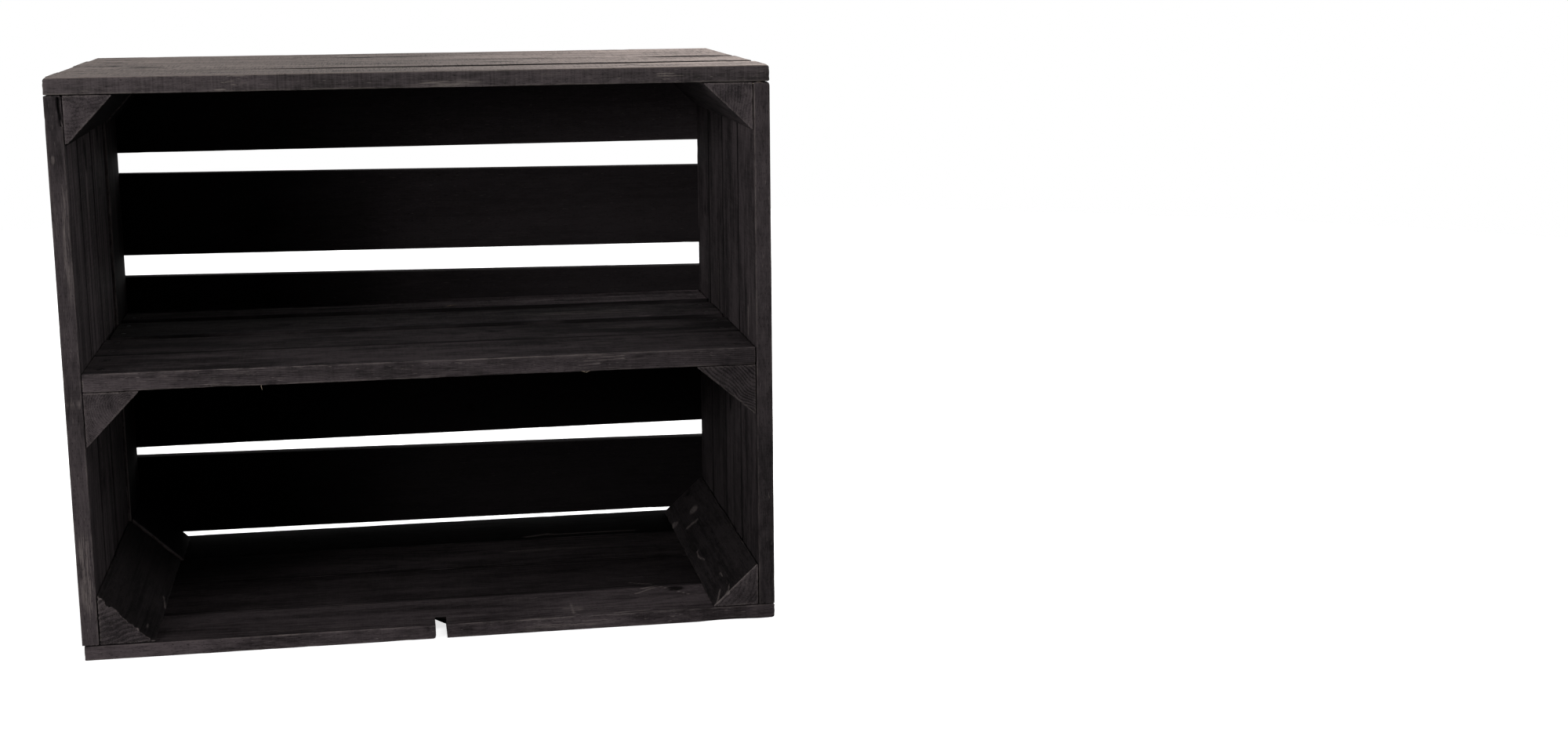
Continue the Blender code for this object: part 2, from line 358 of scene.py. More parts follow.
class Board:
    """One board as a fine mesh: its grid, its worn shape, and what its material reads."""

    def __init__(self, node, lie, seed, nails, look):
        self.node, self.lie, self.seed, self.nails, self.look = node, lie, seed, nails, look
        self.low, self.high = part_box(node)
        self.axes = AXES[lie]
        self.corner = np.where(self.axes.sum(axis=0) > 0, self.low, self.high)
        self.dims = np.abs(self.axes @ np.array(self.high - self.low))
        self.build_grid()
        self.timber = Timber(seed, self.dims[1], self.dims[2], look.knots, look.pith)
        self.salted = self.local + self.timber.offset
        self.world = self.corner + self.local @ self.axes
        # 1 at the board's ends, and on the edge that looks forward
        along, across = self.local[:, 0], self.local[:, 1]
        self.ends = 1 - ramp(np.minimum(along, self.dims[0] - along), 0, 1.0 * MM)
        self.forward = 1 - ramp(across, 0.1 * MM, 1.2 * MM)
        self.wear = self.noise((60, 12, 12), 4)
        self.chips = ramp(self.noise((13, 5, 5), 3), 0.62, 0.92)
        self.ring_count = self.timber.rings(self.local) / look.ring_step
        shown = look.rings * (1 - 0.8 * self.forward) + look.edge_rings * self.forward
        self.shown = np.clip(shown, 0, 1)
        self.knotty = self.timber.knot_share(self.local)
        self.crack = cracks_depth(self.world, look.cracks)
        self.nailed = dimples(self.world, nails)

    def noise(self, cell, number):
        """One of the board's own noises."""
        return noise(self.salted, cell, self.seed + number)

    def on_board(self, place):
        """A place in the crate, counted along, across and through the board."""
        return self.axes @ (np.asarray(place) - self.corner)

    def grid_extras(self):
        """Grid lines at the nails, along straight cracks and strokes, and round the split."""
        extras = [[], [], []]
        for place, _ in self.nails:
            at_nail = self.on_board(place)
            for axis in (0, 1):
                extras[axis] += [at_nail[axis] + offset for offset in AROUND_NAIL]
        for start, end, half_width, *_ in (*self.look.cracks, *self.look.strokes):
            first, last = self.on_board(start), self.on_board(end)
            for axis in (1, 2):
                if abs(first[axis] - last[axis]) < 1.2 * MM:
                    middle = (first[axis] + last[axis]) / 2
                    extras[axis] += [middle + share * half_width for share in (-1, -0.3, 0.3, 1)]
        if self.look.split:
            sides = [NOTCH_LEFT, (NOTCH_LEFT + NOTCH_RIGHT) / 2, NOTCH_RIGHT]
            rounded = [NOTCH_LEFT - share * NOTCH_ROUND for share in (0.1, 0.3, 0.6, 1.0)]
            extras[0] += [x - self.low.x for x in sides + rounded]
            extras[1] += [NOTCH_TOP]
        return extras

    def build_grid(self):
        """The board's grid points, in its own axes, and its faces."""
        steps = (self.look.step, STEP_ACROSS, STEP_THROUGH)
        lines = [grid_lines(*side) for side in zip(self.dims, steps, self.grid_extras())]
        filled = np.ones([len(line) - 1 for line in lines], bool)
        if self.look.split:
            middles = (lines[0][1:] + lines[0][:-1]) / 2 + self.low.x
            columns = (middles > NOTCH_LEFT) & (middles < NOTCH_RIGHT)
            rows = lines[1][1:] < NOTCH_TOP + 0.05 * MM
            filled[np.ix_(columns, rows, range(filled.shape[2]))] = False
        points, self.faces = shell(filled)
        self.local = np.stack([lines[axis][points[:, axis]] for axis in range(3)], axis=1)
        if self.look.split:
            shape_split(self.local, self.low)

    def arris_radius(self):
        """How far the edges are worn round, wider where they are chipped or bitten."""
        radius = ARRIS * (0.6 + 0.8 * self.wear)
        radius = radius + CHIP * self.chips * (0.4 + 0.6 * self.ends + 0.6 * self.wear)
        for place, reach, bite in self.look.bites:
            away = np.linalg.norm((self.world - np.asarray(place)) / np.asarray(reach), axis=1)
            radius = radius + bite * (1 - ramp(away, 0.3, 1.0))
        return np.clip(radius, 0.2 * MM, 0.35 * self.dims.min())[:, None]

    def relief(self):
        """How deep the surface lies at each point; it goes inwards only, so the CAD box holds."""
        late = 0.5 + 0.5 * np.sin(2 * math.pi * self.ring_count)
        grain = 0.55 * self.noise((70, 2.4, 2.4), 5) + (0.3 + 0.7 * self.shown) * (1 - late)
        depth = self.look.ridge * grain + 0.22 * MM * self.noise((140, 38, 38), 6)
        depth += self.ends * 0.30 * MM * (0.6 * self.noise((9, 1.7, 1.7), 7) + 0.4 * (1 - late))
        depth += 0.25 * MM * ramp(self.noise((11, 6, 6), 8), 0.80, 0.97)
        depth -= 0.06 * MM * self.knotty
        depth = np.clip(depth, 0, 0.6 * MM) * (1 - ramp(self.nailed, 0, DIMPLE))
        return (depth + self.nailed + self.crack)[:, None]

    def shaped(self):
        """The board's points: arrises, relief, gaps, sinks, and a back slat's slanting edges."""
        radius = self.arris_radius()
        core = np.clip(self.local, radius, self.dims - radius)
        outward = self.local - core
        length = np.linalg.norm(outward, axis=1, keepdims=True)
        outward = np.where(length > 1e-9, outward / np.maximum(length, 1e-9), 0)
        worn = core + (radius - self.relief()) * outward
        made = np.where(length < 1e-9, self.local, worn)

        thickness, gap = self.dims[2], self.look.gap
        standing = 0.3 + 1.4 * self.noise((80, 200, 200), 10)
        inside = np.minimum(self.local[:, 2], thickness - self.local[:, 2])
        standing *= 1 - ramp(inside, 2.5 * MM, 5 * MM)
        made[:, 1] = gap[0] * standing + made[:, 1] * (1 - sum(gap) * standing / self.dims[1])
        for middle, reaches, sunk in self.look.sinks:
            made[:, 2] *= 1 - sunk * near_spots(self.world, [(middle, reaches)]) / thickness
        if self.lie == "back":
            left, right = np.array(slat_edges(self.node, self.low, self.high))
            edges = left + (right - left) * (made[:, :1] / self.dims[0])
            made[:, 1] = edges[:, 0] + made[:, 1] / self.dims[1] * (edges[:, 1] - edges[:, 0])
        return made

    def along(self, levels):
        """A value from the three levels at the start, middle and end of the board."""
        return np.interp(self.local[:, 0] / self.dims[0], (0, 0.5, 1), levels)

    def lightness(self, pale_marked):
        """Painted light and shade: a level along the board, on its inner face or all of it, another on
        its forward edge; pale places stay at least half as light.
        """
        light = self.along(self.look.shade)
        if self.look.inner:
            height = self.local[:, 2] / self.dims[2]
            to_middle = Vector((0, 0, TOP / 2)) - (self.low + self.high) / 2
            height = height if to_middle @ Vector(self.axes[2]) > 0 else 1 - height
            light = 1 + (light - 1) * ramp(height, 0.2, 0.8)
        light += (self.along(self.look.front) - light) * self.forward
        return np.maximum(light, 0.5 * pale_marked)

    def seam_shade_mask(self):
        """Where painted shade falls in the seams: 1 at an edge with a neighbour behind a gap, 0 away
        from it.
        """
        across = self.local[:, 1]
        rear_half = across > self.dims[1] / 2
        at_seam = np.where(rear_half, self.look.gap[1] > 0, self.look.gap[0] > 0)
        away = np.where(rear_half, self.dims[1] - across, across)
        return at_seam * (1 - ramp(away, 0.8 * MM, 3.6 * MM))

    def wear_levels(self):
        """How worn the wood is; how dark, where stain soaks into cracks, knots, end grain and nail
        dents, at dark spots and in the painted shade of the seams; and how pale-patched.
        """
        sides = np.sort(np.concatenate([self.local, self.dims - self.local], axis=1), axis=1)
        edge = 1 - ramp(sides[:, 1], 0.1 * MM, 1.7 * MM)
        seam_share = self.seam_shade_mask()
        worn = (edge * (0.35 + 0.65 * self.wear) + 0.6 * edge * self.chips) * (1 - seam_share)
        darkened = np.clip(self.crack / (0.5 * MM), 0, 1) + 0.85 * self.knotty
        darkened += 0.3 * self.ends * (1 - edge) + 0.9 * self.nailed / DIMPLE
        darkened += near_spots(self.world, self.look.stains)
        # Painted shade in the seams, where little light gets in
        darkened += self.look.grime * seam_share * (0.55 + 0.6 * self.noise((25, 60, 60), 11))
        pale_patched = near_spots(self.world, self.look.scuffs)
        return np.stack([worn, np.clip(darkened, 0, 1), pale_patched], axis=1)

    def build(self, material, slot):
        """Makes the piece and stores what its material reads."""
        look, made = self.look, self.shaped()
        piece = mesh_piece("wood_" + self.node, self.corner + made @ self.axes, self.faces, material)
        upper = ramp(made[:, 2], self.dims[2] - 1.2 * MM, self.dims[2] - 0.3 * MM)
        # The upper face lightened: partly weathering, and on the top partly a painted sheen of light at
        # a grazing angle
        faded_and_sheen = look.bleach * upper * (0.75 + 0.5 * (self.noise((90, 25, 25), 9) - 0.5))
        streaky = look.streak * (1 - 0.7 * self.forward)
        pale_marked = pale_mark_share(self.world, look.bare, look.strokes)
        store(piece, "grain", self.salted)
        store(piece, "ring", self.ring_count)
        store(piece, "tone", np.stack([faded_and_sheen, self.shown, streaky], axis=1))
        store(piece, "shade", self.lightness(pale_marked))
        store(piece, "calm", look.calm + (0.5 - look.calm) * self.forward)
        store(piece, "bare", pale_marked)
        store(piece, "wear", self.wear_levels())
        hand_in(piece, slot, [self.node])


def board(node, lie, material, slot, seed, nails, **given):
    """Replaces one CAD board by a fine mesh; PLAIN_BOARD lists what can be given."""
    Board(node, lie, seed, nails, SimpleNamespace(**{**PLAIN_BOARD, **given})).build(material, slot)


# ---------------------------------------------------------------- battens

def wedge_grid(up, along):
    """Grid points on a triangular prism, with its faces: up cells on each leg."""
    numbers = {}

    def point(i, j, k):
        return numbers.setdefault((i, j, k), len(numbers))

    faces = []
    for k in (0, along):
        for i in range(up):
            for j in range(up - i):
                faces.append((point(i, j, k), point(i + 1, j, k), point(i, j + 1, k)))
                if i + j < up - 1:
                    faces.append((point(i + 1, j, k), point(i + 1, j + 1, k), point(i, j + 1, k)))
    for k in range(along):
        for i in range(up):
            runs = (((i, 0), (i + 1, 0)), ((0, i), (0, i + 1)), ((up - i, i), (up - i - 1, i + 1)))
            for a, b in runs:
                faces.append((point(*a, k), point(*b, k), point(*b, k + 1), point(*a, k + 1)))
    return np.array(list(numbers)), faces


PLAIN_BATTEN = dict(
    # Grid: how many cells up each leg, and the step along the batten
    up=44, step=5 * MM,
    # Growth rings: where the pith is from the square corner, how far apart they are, how much they
    # waver, and how clear they are (0 to 1)
    pith=(-12 * MM, -30 * MM), ring_step=3.2 * MM, wavy=1.2 * MM, rings=0.5,
    # Shape: how deep the rings stand out on the sawn ends, and how torn the long edge is in front
    rough=0.2 * MM, ragged=0.0,
    # Painted light and shade: the lightness levels of the long faces and of the front end; and marks
    # as for a board
    shade=1.0, face=1.0, stains=(), bare=(), strokes=(),
)
BATTEN_STREAK = 0.5
ROUNDING_STEPS = 12


class Batten:
    """One triangular batten; its own axes run along its legs, from the square corner, and back."""

    def __init__(self, node, toward, seed, look):
        self.node, self.toward, self.seed, self.look = node, toward, seed, look
        low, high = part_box(node)
        x = low.x if toward[0] > 0 else high.x
        z = low.z if toward[1] > 0 else high.z
        self.corner = (x, low.y, z)
        self.legs = np.array([high.x - low.x, high.z - low.z])
        self.length = high.y - low.y
        self.slant = np.array([self.legs[1], self.legs[0], 0]) / np.hypot(*self.legs)
        self.build_grid()
        self.salted = self.local[:, [2, 0, 1]] + np.random.default_rng(seed).uniform(-8, 8, 3)
        depth = self.local[:, 2]
        self.front = 1 - ramp(depth, 0, 1.0 * MM)
        self.ends = 1 - ramp(np.minimum(depth, self.length - depth), 0, 1.0 * MM)
        self.wear = self.noise((40, 9, 9), 4)
        self.chips = ramp(self.noise((8, 4, 4), 3), 0.60, 0.92)
        self.ring_count = self.rings()
        self.world = self.in_crate(self.local)

    def noise(self, cell, number):
        """One of the batten's own noises."""
        return noise(self.salted, cell, self.seed + number)

    def in_crate(self, points):
        """Points turned from the batten's own axes into the crate's."""
        across = self.corner[0] + self.toward[0] * points[:, 0]
        up = self.corner[2] + self.toward[1] * points[:, 1]
        return np.stack([across, self.corner[1] + points[:, 2], up], axis=1)

    def to_slant(self, points):
        """How far points lie inside the slanting face."""
        return self.slant[0] * self.legs[0] - points @ self.slant

    def build_grid(self):
        """Grid points that stand closer together near the edges."""
        run = grid_lines(self.length, self.look.step)
        points, self.faces = wedge_grid(self.look.up, len(run) - 1)
        shares = points[:, :2] / self.look.up
        eased = np.stack([shares[:, 0], shares[:, 1], 1 - shares.sum(axis=1)], axis=1)
        eased = eased ** 2 * (3 - 2 * eased) * 0.45 + eased * 0.55
        eased /= eased.sum(axis=1, keepdims=True)
        self.local = np.column_stack([eased[:, :2] * self.legs, run[points[:, 2]]])

    def rings(self):
        """Distance from the pith, wavering, counted in rings."""
        sway = self.noise((200, 14, 14), 1) - 0.5
        bend = self.noise((200, 6, 6), 2) - 0.5
        away = np.hypot(self.local[:, 0] - self.look.pith[0], self.local[:, 1] - self.look.pith[1])
        return (away + 5 * MM * sway + self.look.wavy * bend) / self.look.ring_step

    def edge_share(self):
        """1 on the edges between two faces, 0 away from them."""
        x, z, depth = self.local.T
        faces = np.stack([x, z, self.to_slant(self.local), depth, self.length - depth], axis=1)
        return 1 - ramp(np.sort(faces, axis=1)[:, 1], 0, 2.2 * MM)

    def relief(self):
        """How deep the surface lies at each point."""
        late = 0.5 + 0.5 * np.sin(2 * math.pi * self.ring_count)
        depth = 0.12 * MM * self.noise((60, 2.2, 2.2), 5) + 0.03 * MM * (1 - late)
        sawn = 0.75 * (1 - late) + 0.5 * self.noise((9, 1.6, 1.6), 7)
        return depth + self.ends * self.look.rough * sawn

    def tear(self):
        """How far the long edge is torn off near the front."""
        on_slant = 1 - ramp(self.to_slant(self.local), 0.2 * MM, 2.5 * MM)
        near_front = 1 - ramp(self.local[:, 2], 1 * MM, 9 * MM)
        torn = ramp(self.noise((30, 3.5, 3.5), 9), 0.35, 0.7)
        return self.look.ragged * on_slant * near_front * torn

    def core(self, radius):
        """The nearest places that lie a radius or more inside all five faces."""
        core = self.local.copy()
        for _ in range(ROUNDING_STEPS):
            for axis, plane, inward in ((0, 0, 1), (1, 0, 1), (2, 0, 1), (2, self.length, -1)):
                short = radius - inward * (core[:, axis] - plane)
                core[:, axis] += inward * np.maximum(short, 0)
            core -= np.maximum(radius - self.to_slant(core), 0)[:, None] * self.slant
        return core

    def shaped(self):
        """The batten's points, with rounded edges, sawn ends and the torn edge."""
        radius = 0.45 * MM + 0.5 * MM * self.wear + 0.9 * MM * self.chips
        core = self.core(radius)
        outward = self.local - core
        outward /= np.maximum(np.linalg.norm(outward, axis=1, keepdims=True), 1e-9)
        return core + (radius - self.relief())[:, None] * outward - self.tear()[:, None] * self.slant

    def build(self, material):
        """Makes the piece and stores what its material reads."""
        look, made = self.look, self.in_crate(self.shaped())
        piece = mesh_piece("wood_" + self.node, made, self.faces, material, turn_out=True)
        none = np.zeros(len(self.local))
        edge = self.edge_share()
        pale_marked = pale_mark_share(self.world, look.bare, look.strokes)
        # Painted light and shade: one lightness level for the front end, another for the long faces
        light = look.face * self.front + look.shade * (1 - self.front)
        worn = edge * (0.3 + 0.7 * self.wear) + 0.5 * edge * self.chips
        darkened = 0.1 * self.ends * (1 - edge) + near_spots(self.world, look.stains)
        shown = look.rings * (0.2 + 0.8 * self.ends)
        store(piece, "grain", self.salted)
        store(piece, "ring", self.ring_count)
        store(piece, "tone", np.stack([none, shown, none + BATTEN_STREAK], axis=1))
        store(piece, "shade", np.maximum(light, 0.65 * pale_marked))
        store(piece, "calm", 0.3 * self.front)
        store(piece, "bare", pale_marked)
        store(piece, "wear", np.stack([worn, np.clip(darkened, 0, 1), none], axis=1))
        hand_in(piece, "stained_batten", [self.node])


def batten(node, toward, material, seed, **given):
    """Replaces one batten by a fine mesh; toward says on which side of its square corner it lies."""
    Batten(node, toward, seed, SimpleNamespace(**{**PLAIN_BATTEN, **given})).build(material)


# ---------------------------------------------------------------- nails and splinters

NAIL_SIDES = 20
# Radius and height of each ring of points, in mm, from the middle of the head to the tip
NAIL_PROFILE = (
    (0.0, 0.0), (0.9, -0.02), (1.6, -0.07), (2.0, -0.18), (2.2, -0.42), (2.15, -0.80),
    (1.9, -1.0), (1.15, -1.1), (1.0, -1.5), (1.0, -25.0), (0.45, -27.0), (0.0, -28.0),
)


def nail_points(place, axis, chance):
    """One nail's points and faces, its head a little tilted in its dimple."""
    tilt = Vector(chance.uniform(-0.05, 0.05, 3))
    turned = (Vector(axis) + tilt).normalized().to_track_quat("Z", "Y").to_matrix()
    points = []
    for radius, height in NAIL_PROFILE:
        count = 1 if radius == 0 else NAIL_SIDES
        for side in range(count):
            angle = 2 * math.pi * side / NAIL_SIDES
            hammered = 1 + (0.05 * math.sin(3 * angle + height) if radius > 1.5 else 0)
            across = radius * hammered * MM
            offset = (across * math.cos(angle), across * math.sin(angle), height * MM - HEAD_SUNK)
            points.append(Vector(place) + turned @ Vector(offset))
    faces = []
    last = len(points) - 1
    for side in range(NAIL_SIDES):
        after = (side + 1) % NAIL_SIDES
        faces.append((0, 1 + side, 1 + after))
        for ring in range(len(NAIL_PROFILE) - 3):
            upper, lower = 1 + ring * NAIL_SIDES, 1 + (ring + 1) * NAIL_SIDES
            faces.append((upper + side, lower + side, lower + after, upper + after))
        rim = last - NAIL_SIDES
        faces.append((rim + side, last, rim + after))
    return points, faces


def nail_row(name, nails, seed, nodes):
    """All the nails of one panel as one piece, in place of the panel's CAD nails if it has any."""
    chance = np.random.default_rng(seed)
    points, faces = [], []
    for place, axis in nails:
        some_points, some_faces = nail_points(place, axis, chance)
        faces += [tuple(index + len(points) for index in face) for face in some_faces]
        points += some_points
    piece = mesh_piece(name, [tuple(point) for point in points], faces, NAIL_STEEL)
    hand_in(piece, "nail_steel", nodes)


SPLINTER_RINGS = 14
SPLINTER_SIDES = 7


def splinter_ring(path, share, size):
    """Points round a splinter's path, the given share of the way along it."""
    at = share * (len(path) - 1)
    first = min(int(at), len(path) - 2)
    before, after = path[first], path[first + 1]
    middle = before.lerp(after, at - first)
    forward = (after - before).normalized()
    side = forward.cross(Vector((0.2, 0.3, 1.0))).normalized()
    above = side.cross(forward)
    points = []
    for number in range(SPLINTER_SIDES):
        angle = 2 * math.pi * number / SPLINTER_SIDES
        lean = 1 + 0.25 * math.sin(5 * angle + 2 * share)
        across = side * math.cos(angle) * size[0] / 2 + above * math.sin(angle) * size[1] / 2
        points.append(tuple(middle + across * lean))
    return points


def splinter(name, path, width, thickness, seed):
    """A sliver of torn wood along a path, thick at its root and pointed at its tip."""
    chance = np.random.default_rng(seed)
    path = [Vector(place) for place in path]
    count, sides = SPLINTER_RINGS, SPLINTER_SIDES
    points, faces = [], []
    for index in range(count + 1):
        share = index / count
        taper = (1 - share) ** 0.6 * (0.75 + 0.5 * chance.random()) + 0.03
        points += splinter_ring(path, share, (width * taper, thickness * taper))
    for base in range(0, count * sides, sides):
        for number in range(sides):
            after = (number + 1) % sides
            faces.append((base + number, base + after, base + sides + after, base + sides + number))
    faces.append(tuple(range(sides))[::-1])
    faces.append(tuple(range(count * sides, (count + 1) * sides)))
    hand_in(mesh_piece(name, points, faces, RAW_WOOD, turn_out=True), "stained_board")


# ---------------------------------------------------------------- materials

class Net:
    """Short calls for building a material's nodes."""

    def __init__(self, name):
        self.material = bpy.data.materials.new(name)
        self.material.use_nodes = True
        self.tree = self.material.node_tree
        self.shader = self.tree.nodes["Principled BSDF"]

    @classmethod
    def of_tree(cls, tree):
        """The same calls for a world's nodes, cleared first."""
        net = cls.__new__(cls)
        net.tree = tree
        tree.nodes.clear()
        return net

    def node(self, kind, values=(), **settings):
        """A new node with its settings, and with values or links on its inputs."""
        made = self.tree.nodes.new("ShaderNode" + kind)
        for key, value in settings.items():
            setattr(made, key, value)
        for key, value in dict(values).items():
            self.feed(made.inputs[key], value)
        return made

    def feed(self, socket, value):
        """Links a socket to the input, or sets the input to a plain value."""
        if isinstance(value, bpy.types.NodeSocket):
            self.tree.links.new(value, socket)
        else:
            socket.default_value = value

    def attribute(self, name):
        return self.node("Attribute", attribute_name=name)

    def math(self, operation, first, second=0.0, third=0.0, clamp=False):
        values = {0: first, 1: second, 2: third}
        made = self.node("Math", values, operation=operation, use_clamp=clamp)
        return made.outputs[0]

    def stretched(self, vector, cell):
        """The vector counted in cells, whose three sizes are in mm."""
        factors = tuple(1 / (size * MM) for size in cell)
        return self.node("VectorMath", {0: vector, 1: factors}, operation="MULTIPLY").outputs[0]

    def noise(self, vector, cell, detail=2.0, roughness=0.5, distortion=0.0):
        values = {"Vector": self.stretched(vector, cell), "Scale": 1.0, "Detail": detail,
                  "Roughness": roughness, "Distortion": distortion}
        return self.node("TexNoise", values).outputs["Fac"]

    def band(self, value, start, end):
        """0 below start, 1 above end, smooth between them."""
        values = {"Value": value, "From Min": start, "From Max": end}
        return self.node("MapRange", values, interpolation_type="SMOOTHSTEP").outputs["Result"]

    def mix(self, share, first, second):
        made = self.node("Mix", data_type="RGBA")
        self.feed(made.inputs[0], share)
        self.feed(made.inputs[6], first)
        self.feed(made.inputs[7], second)
        return made.outputs[2]

    def finish(self, body, rough, height, distance, strength):
        """The material, with its colour, roughness and fine relief put on its shader."""
        settings = {"Height": height, "Distance": distance, "Strength": strength}
        relief = self.node("Bump", settings).outputs["Normal"]
        for key, value in (("Base Color", body), ("Roughness", rough), ("Normal", relief)):
            self.feed(self.shader.inputs[key], value)
        return self.material


def colour(red, green, blue):
    """An opaque colour."""
    return (red, green, blue, 1.0)


def wood_noises(net):
    """The noises that a wood's stain, dry marks and relief are mixed from."""
    grain = net.attribute("grain").outputs["Vector"]
    return SimpleNamespace(
        long_fibre=net.noise(grain, (85, 1.4, 1.4), detail=3, roughness=0.62),
        broad_fibre=net.noise(grain, (170, 9, 9), detail=3, roughness=0.6),
        fine_fibre=net.noise(grain, (9, 0.42, 0.42), detail=2),
        mottle=net.noise(grain, (15, 4.5, 4.5), detail=5, roughness=0.68, distortion=0.35),
        blotch=net.noise(grain, (95, 26, 26), detail=3, distortion=0.4),
        pores=net.noise(grain, (2.6, 0.62, 0.62), detail=1),
        saw=net.noise(grain, (1.3, 26, 26), detail=2),
        fleck=net.noise(grain, (13, 1.1, 1.1), detail=2, roughness=0.6),
        streak=net.noise(grain, (18, 0.75, 0.75), detail=3, roughness=0.65),
        patch=net.noise(grain, (32, 9, 9), detail=3, distortion=0.8),
        nick=net.noise(grain, (6, 0.8, 0.8), detail=1),
    )


def growth_rings(net, noises, rings):
    """Growth rings: a soft rise through the pale wood, then a narrow dark line."""
    ring = net.attribute("ring").outputs["Fac"]
    tooth = net.math("FRACT", net.math("MULTIPLY_ADD", noises.long_fibre, 0.3, ring))
    late = net.band(tooth, 0.35, 0.95)
    late = net.math("MULTIPLY", late, net.math("SUBTRACT", 1.0, net.band(tooth, 0.95, 1.0)))
    return net.math("MULTIPLY", late, rings)


def stain_taken(net, noises, seen, streaky, calm, sawn):
    """How unevenly the stain was taken up: streaks along the grain, or clouds."""
    fibres = net.math("MULTIPLY_ADD", noises.broad_fibre, 0.75, -0.20)
    fibres = net.math("MULTIPLY_ADD", noises.long_fibre, 0.65, fibres)
    clouds = net.math("MULTIPLY_ADD", noises.blotch, 0.8, -0.225)
    clouds = net.math("MULTIPLY_ADD", noises.mottle, 0.65, clouds)
    stain = net.math("MULTIPLY_ADD", net.math("SUBTRACT", fibres, clouds), streaky, clouds)
    stain = net.math("MULTIPLY_ADD", net.math("SUBTRACT", noises.fine_fibre, 0.5), 0.42, stain)
    stain = net.math("MULTIPLY_ADD", net.math("SUBTRACT", noises.saw, 0.5), sawn, stain)
    stain = net.math("MULTIPLY_ADD", seen, -0.34, stain)
    return net.math("MULTIPLY_ADD", net.math("SUBTRACT", 0.5, stain), calm, stain)


def dry_marks(net, noises, seen, pale_patched, brush):
    """Broken dry streaks along the grain: in patches, over the given pale patches (scuff marks, and one
    painted highlight on a lit edge) and on the ridges.
    """
    scuffs = net.math("MULTIPLY", pale_patched, 0.85)
    amount = net.math("MULTIPLY_ADD", net.band(noises.patch, 0.54, 0.76), brush, scuffs)
    amount = net.math("MULTIPLY_ADD", seen, 0.35, amount)
    broken = net.math("MULTIPLY", noises.streak, 0.6)
    broken = net.math("MULTIPLY_ADD", noises.broad_fibre, 0.4, broken)
    return net.math("MULTIPLY", net.band(broken, 0.47, 0.62), amount, clamp=True)


def pale_wood(net, noises, seen, worn, pale_patched, brush):
    """Where pale wood shows: dry streaks, worn edges, small nicks and places where the stain is worn
    off; on a few lit edges these are painted highlights.
    """
    edge = net.band(net.math("ADD", noises.streak, noises.mottle), 0.82, 1.12)
    edge = net.math("MULTIPLY", net.math("MULTIPLY", worn, edge), 0.8)
    light = net.math("MAXIMUM", dry_marks(net, noises, seen, pale_patched, brush), edge, clamp=True)
    light = net.math("MAXIMUM", light, net.math("MULTIPLY", net.band(noises.nick, 0.71, 0.78), 0.6))
    bare = net.attribute("bare").outputs["Fac"]
    torn = net.math("MULTIPLY_ADD", noises.streak, 1.2, net.math("MULTIPLY", noises.mottle, 1.6))
    torn = net.math("ADD", net.math("SUBTRACT", torn, 1.4), bare)
    pale_marked = net.math("MULTIPLY", net.band(torn, 0.25, 1.15), 0.9)
    return net.math("MAXIMUM", light, net.math("MULTIPLY", pale_marked, net.band(bare, 0.0, 0.15)))


def dark_marks(net, noises, darkened, calm):
    """Dark places: where the stain soaks in (open pores, flecks, knots, cracks and end grain), and
    painted shade in the seams.
    """
    pores = net.math("MULTIPLY", net.band(noises.pores, 0.60, 0.72), 0.5)
    flecks = net.math("MULTIPLY_ADD", calm, -1.5, 0.75)
    flecks = net.math("MULTIPLY", net.band(noises.fleck, 0.60, 0.72), flecks)
    pores = net.math("MAXIMUM", pores, flecks)
    return net.math("MAXIMUM", pores, net.math("MULTIPLY", darkened, 0.9))


def fine_relief(net, noises, seen):
    """The height of rings, fibres, pores and saw marks that are too fine for the mesh."""
    height = net.math("MULTIPLY_ADD", seen, 0.5, net.math("MULTIPLY", noises.long_fibre, 0.45))
    height = net.math("MULTIPLY_ADD", noises.fine_fibre, 0.35, height)
    height = net.math("MULTIPLY_ADD", noises.mottle, 0.25, height)
    height = net.math("MULTIPLY_ADD", noises.pores, -0.18, height)
    return net.math("MULTIPLY_ADD", noises.saw, 0.16, height)


def wood(name, deep, base, dry, soak, faded_and_sheen, brush, roughness, specular, bump, sawn=0.12):
    """Stained softwood: growth rings and fibres in the stain, dry strokes and worn edges over it,
    and painted light and shade, which scale the colour by each point's stored level.

    deep, base and dry are its darkest, usual and lightest colours (dry also makes the painted
    highlights on a few lit edges), soak the colour of end grain and cracks (also of the painted
    shade in the seams), faded that of a weathered face (on the top partly a painted sheen), brush
    how much dry brushing there is, bump how strong the fine relief is, and sawn how clear the saw
    marks are in the stain.
    """
    net = Net(name)
    noises = wood_noises(net)
    calm = net.attribute("calm").outputs["Fac"]
    wear = net.attribute("wear").outputs["Vector"]
    tone = net.attribute("tone").outputs["Vector"]
    worn, darkened, pale_patched = net.node("SeparateXYZ", {0: wear}).outputs
    bleach, rings, streaky = net.node("SeparateXYZ", {0: tone}).outputs

    seen = growth_rings(net, noises, rings)
    stain = stain_taken(net, noises, seen, streaky, calm, sawn)
    body = net.mix(net.band(stain, 0.34, 0.61), deep, base)
    body = net.mix(net.math("MULTIPLY", bleach, net.band(stain, 0.24, 0.50)), body, faded_and_sheen)
    body = net.mix(pale_wood(net, noises, seen, worn, pale_patched, brush), body, dry)
    body = net.mix(dark_marks(net, noises, darkened, calm), body, soak)
    # Painted light and shade: the colour is scaled by each point's stored lightness level
    shade = net.attribute("shade").outputs["Fac"]
    body = net.node("VectorMath", {0: body, 3: shade}, operation="SCALE").outputs[0]

    rough = net.math("MULTIPLY", noises.fine_fibre, 0.16)
    rough = net.math("MULTIPLY_ADD", noises.blotch, 0.22, rough)
    rough = net.math("ADD", rough, roughness, clamp=True)
    net.shader.inputs["Specular IOR Level"].default_value = specular
    return net.finish(body, rough, fine_relief(net, noises, seen), 0.5 * MM, bump)


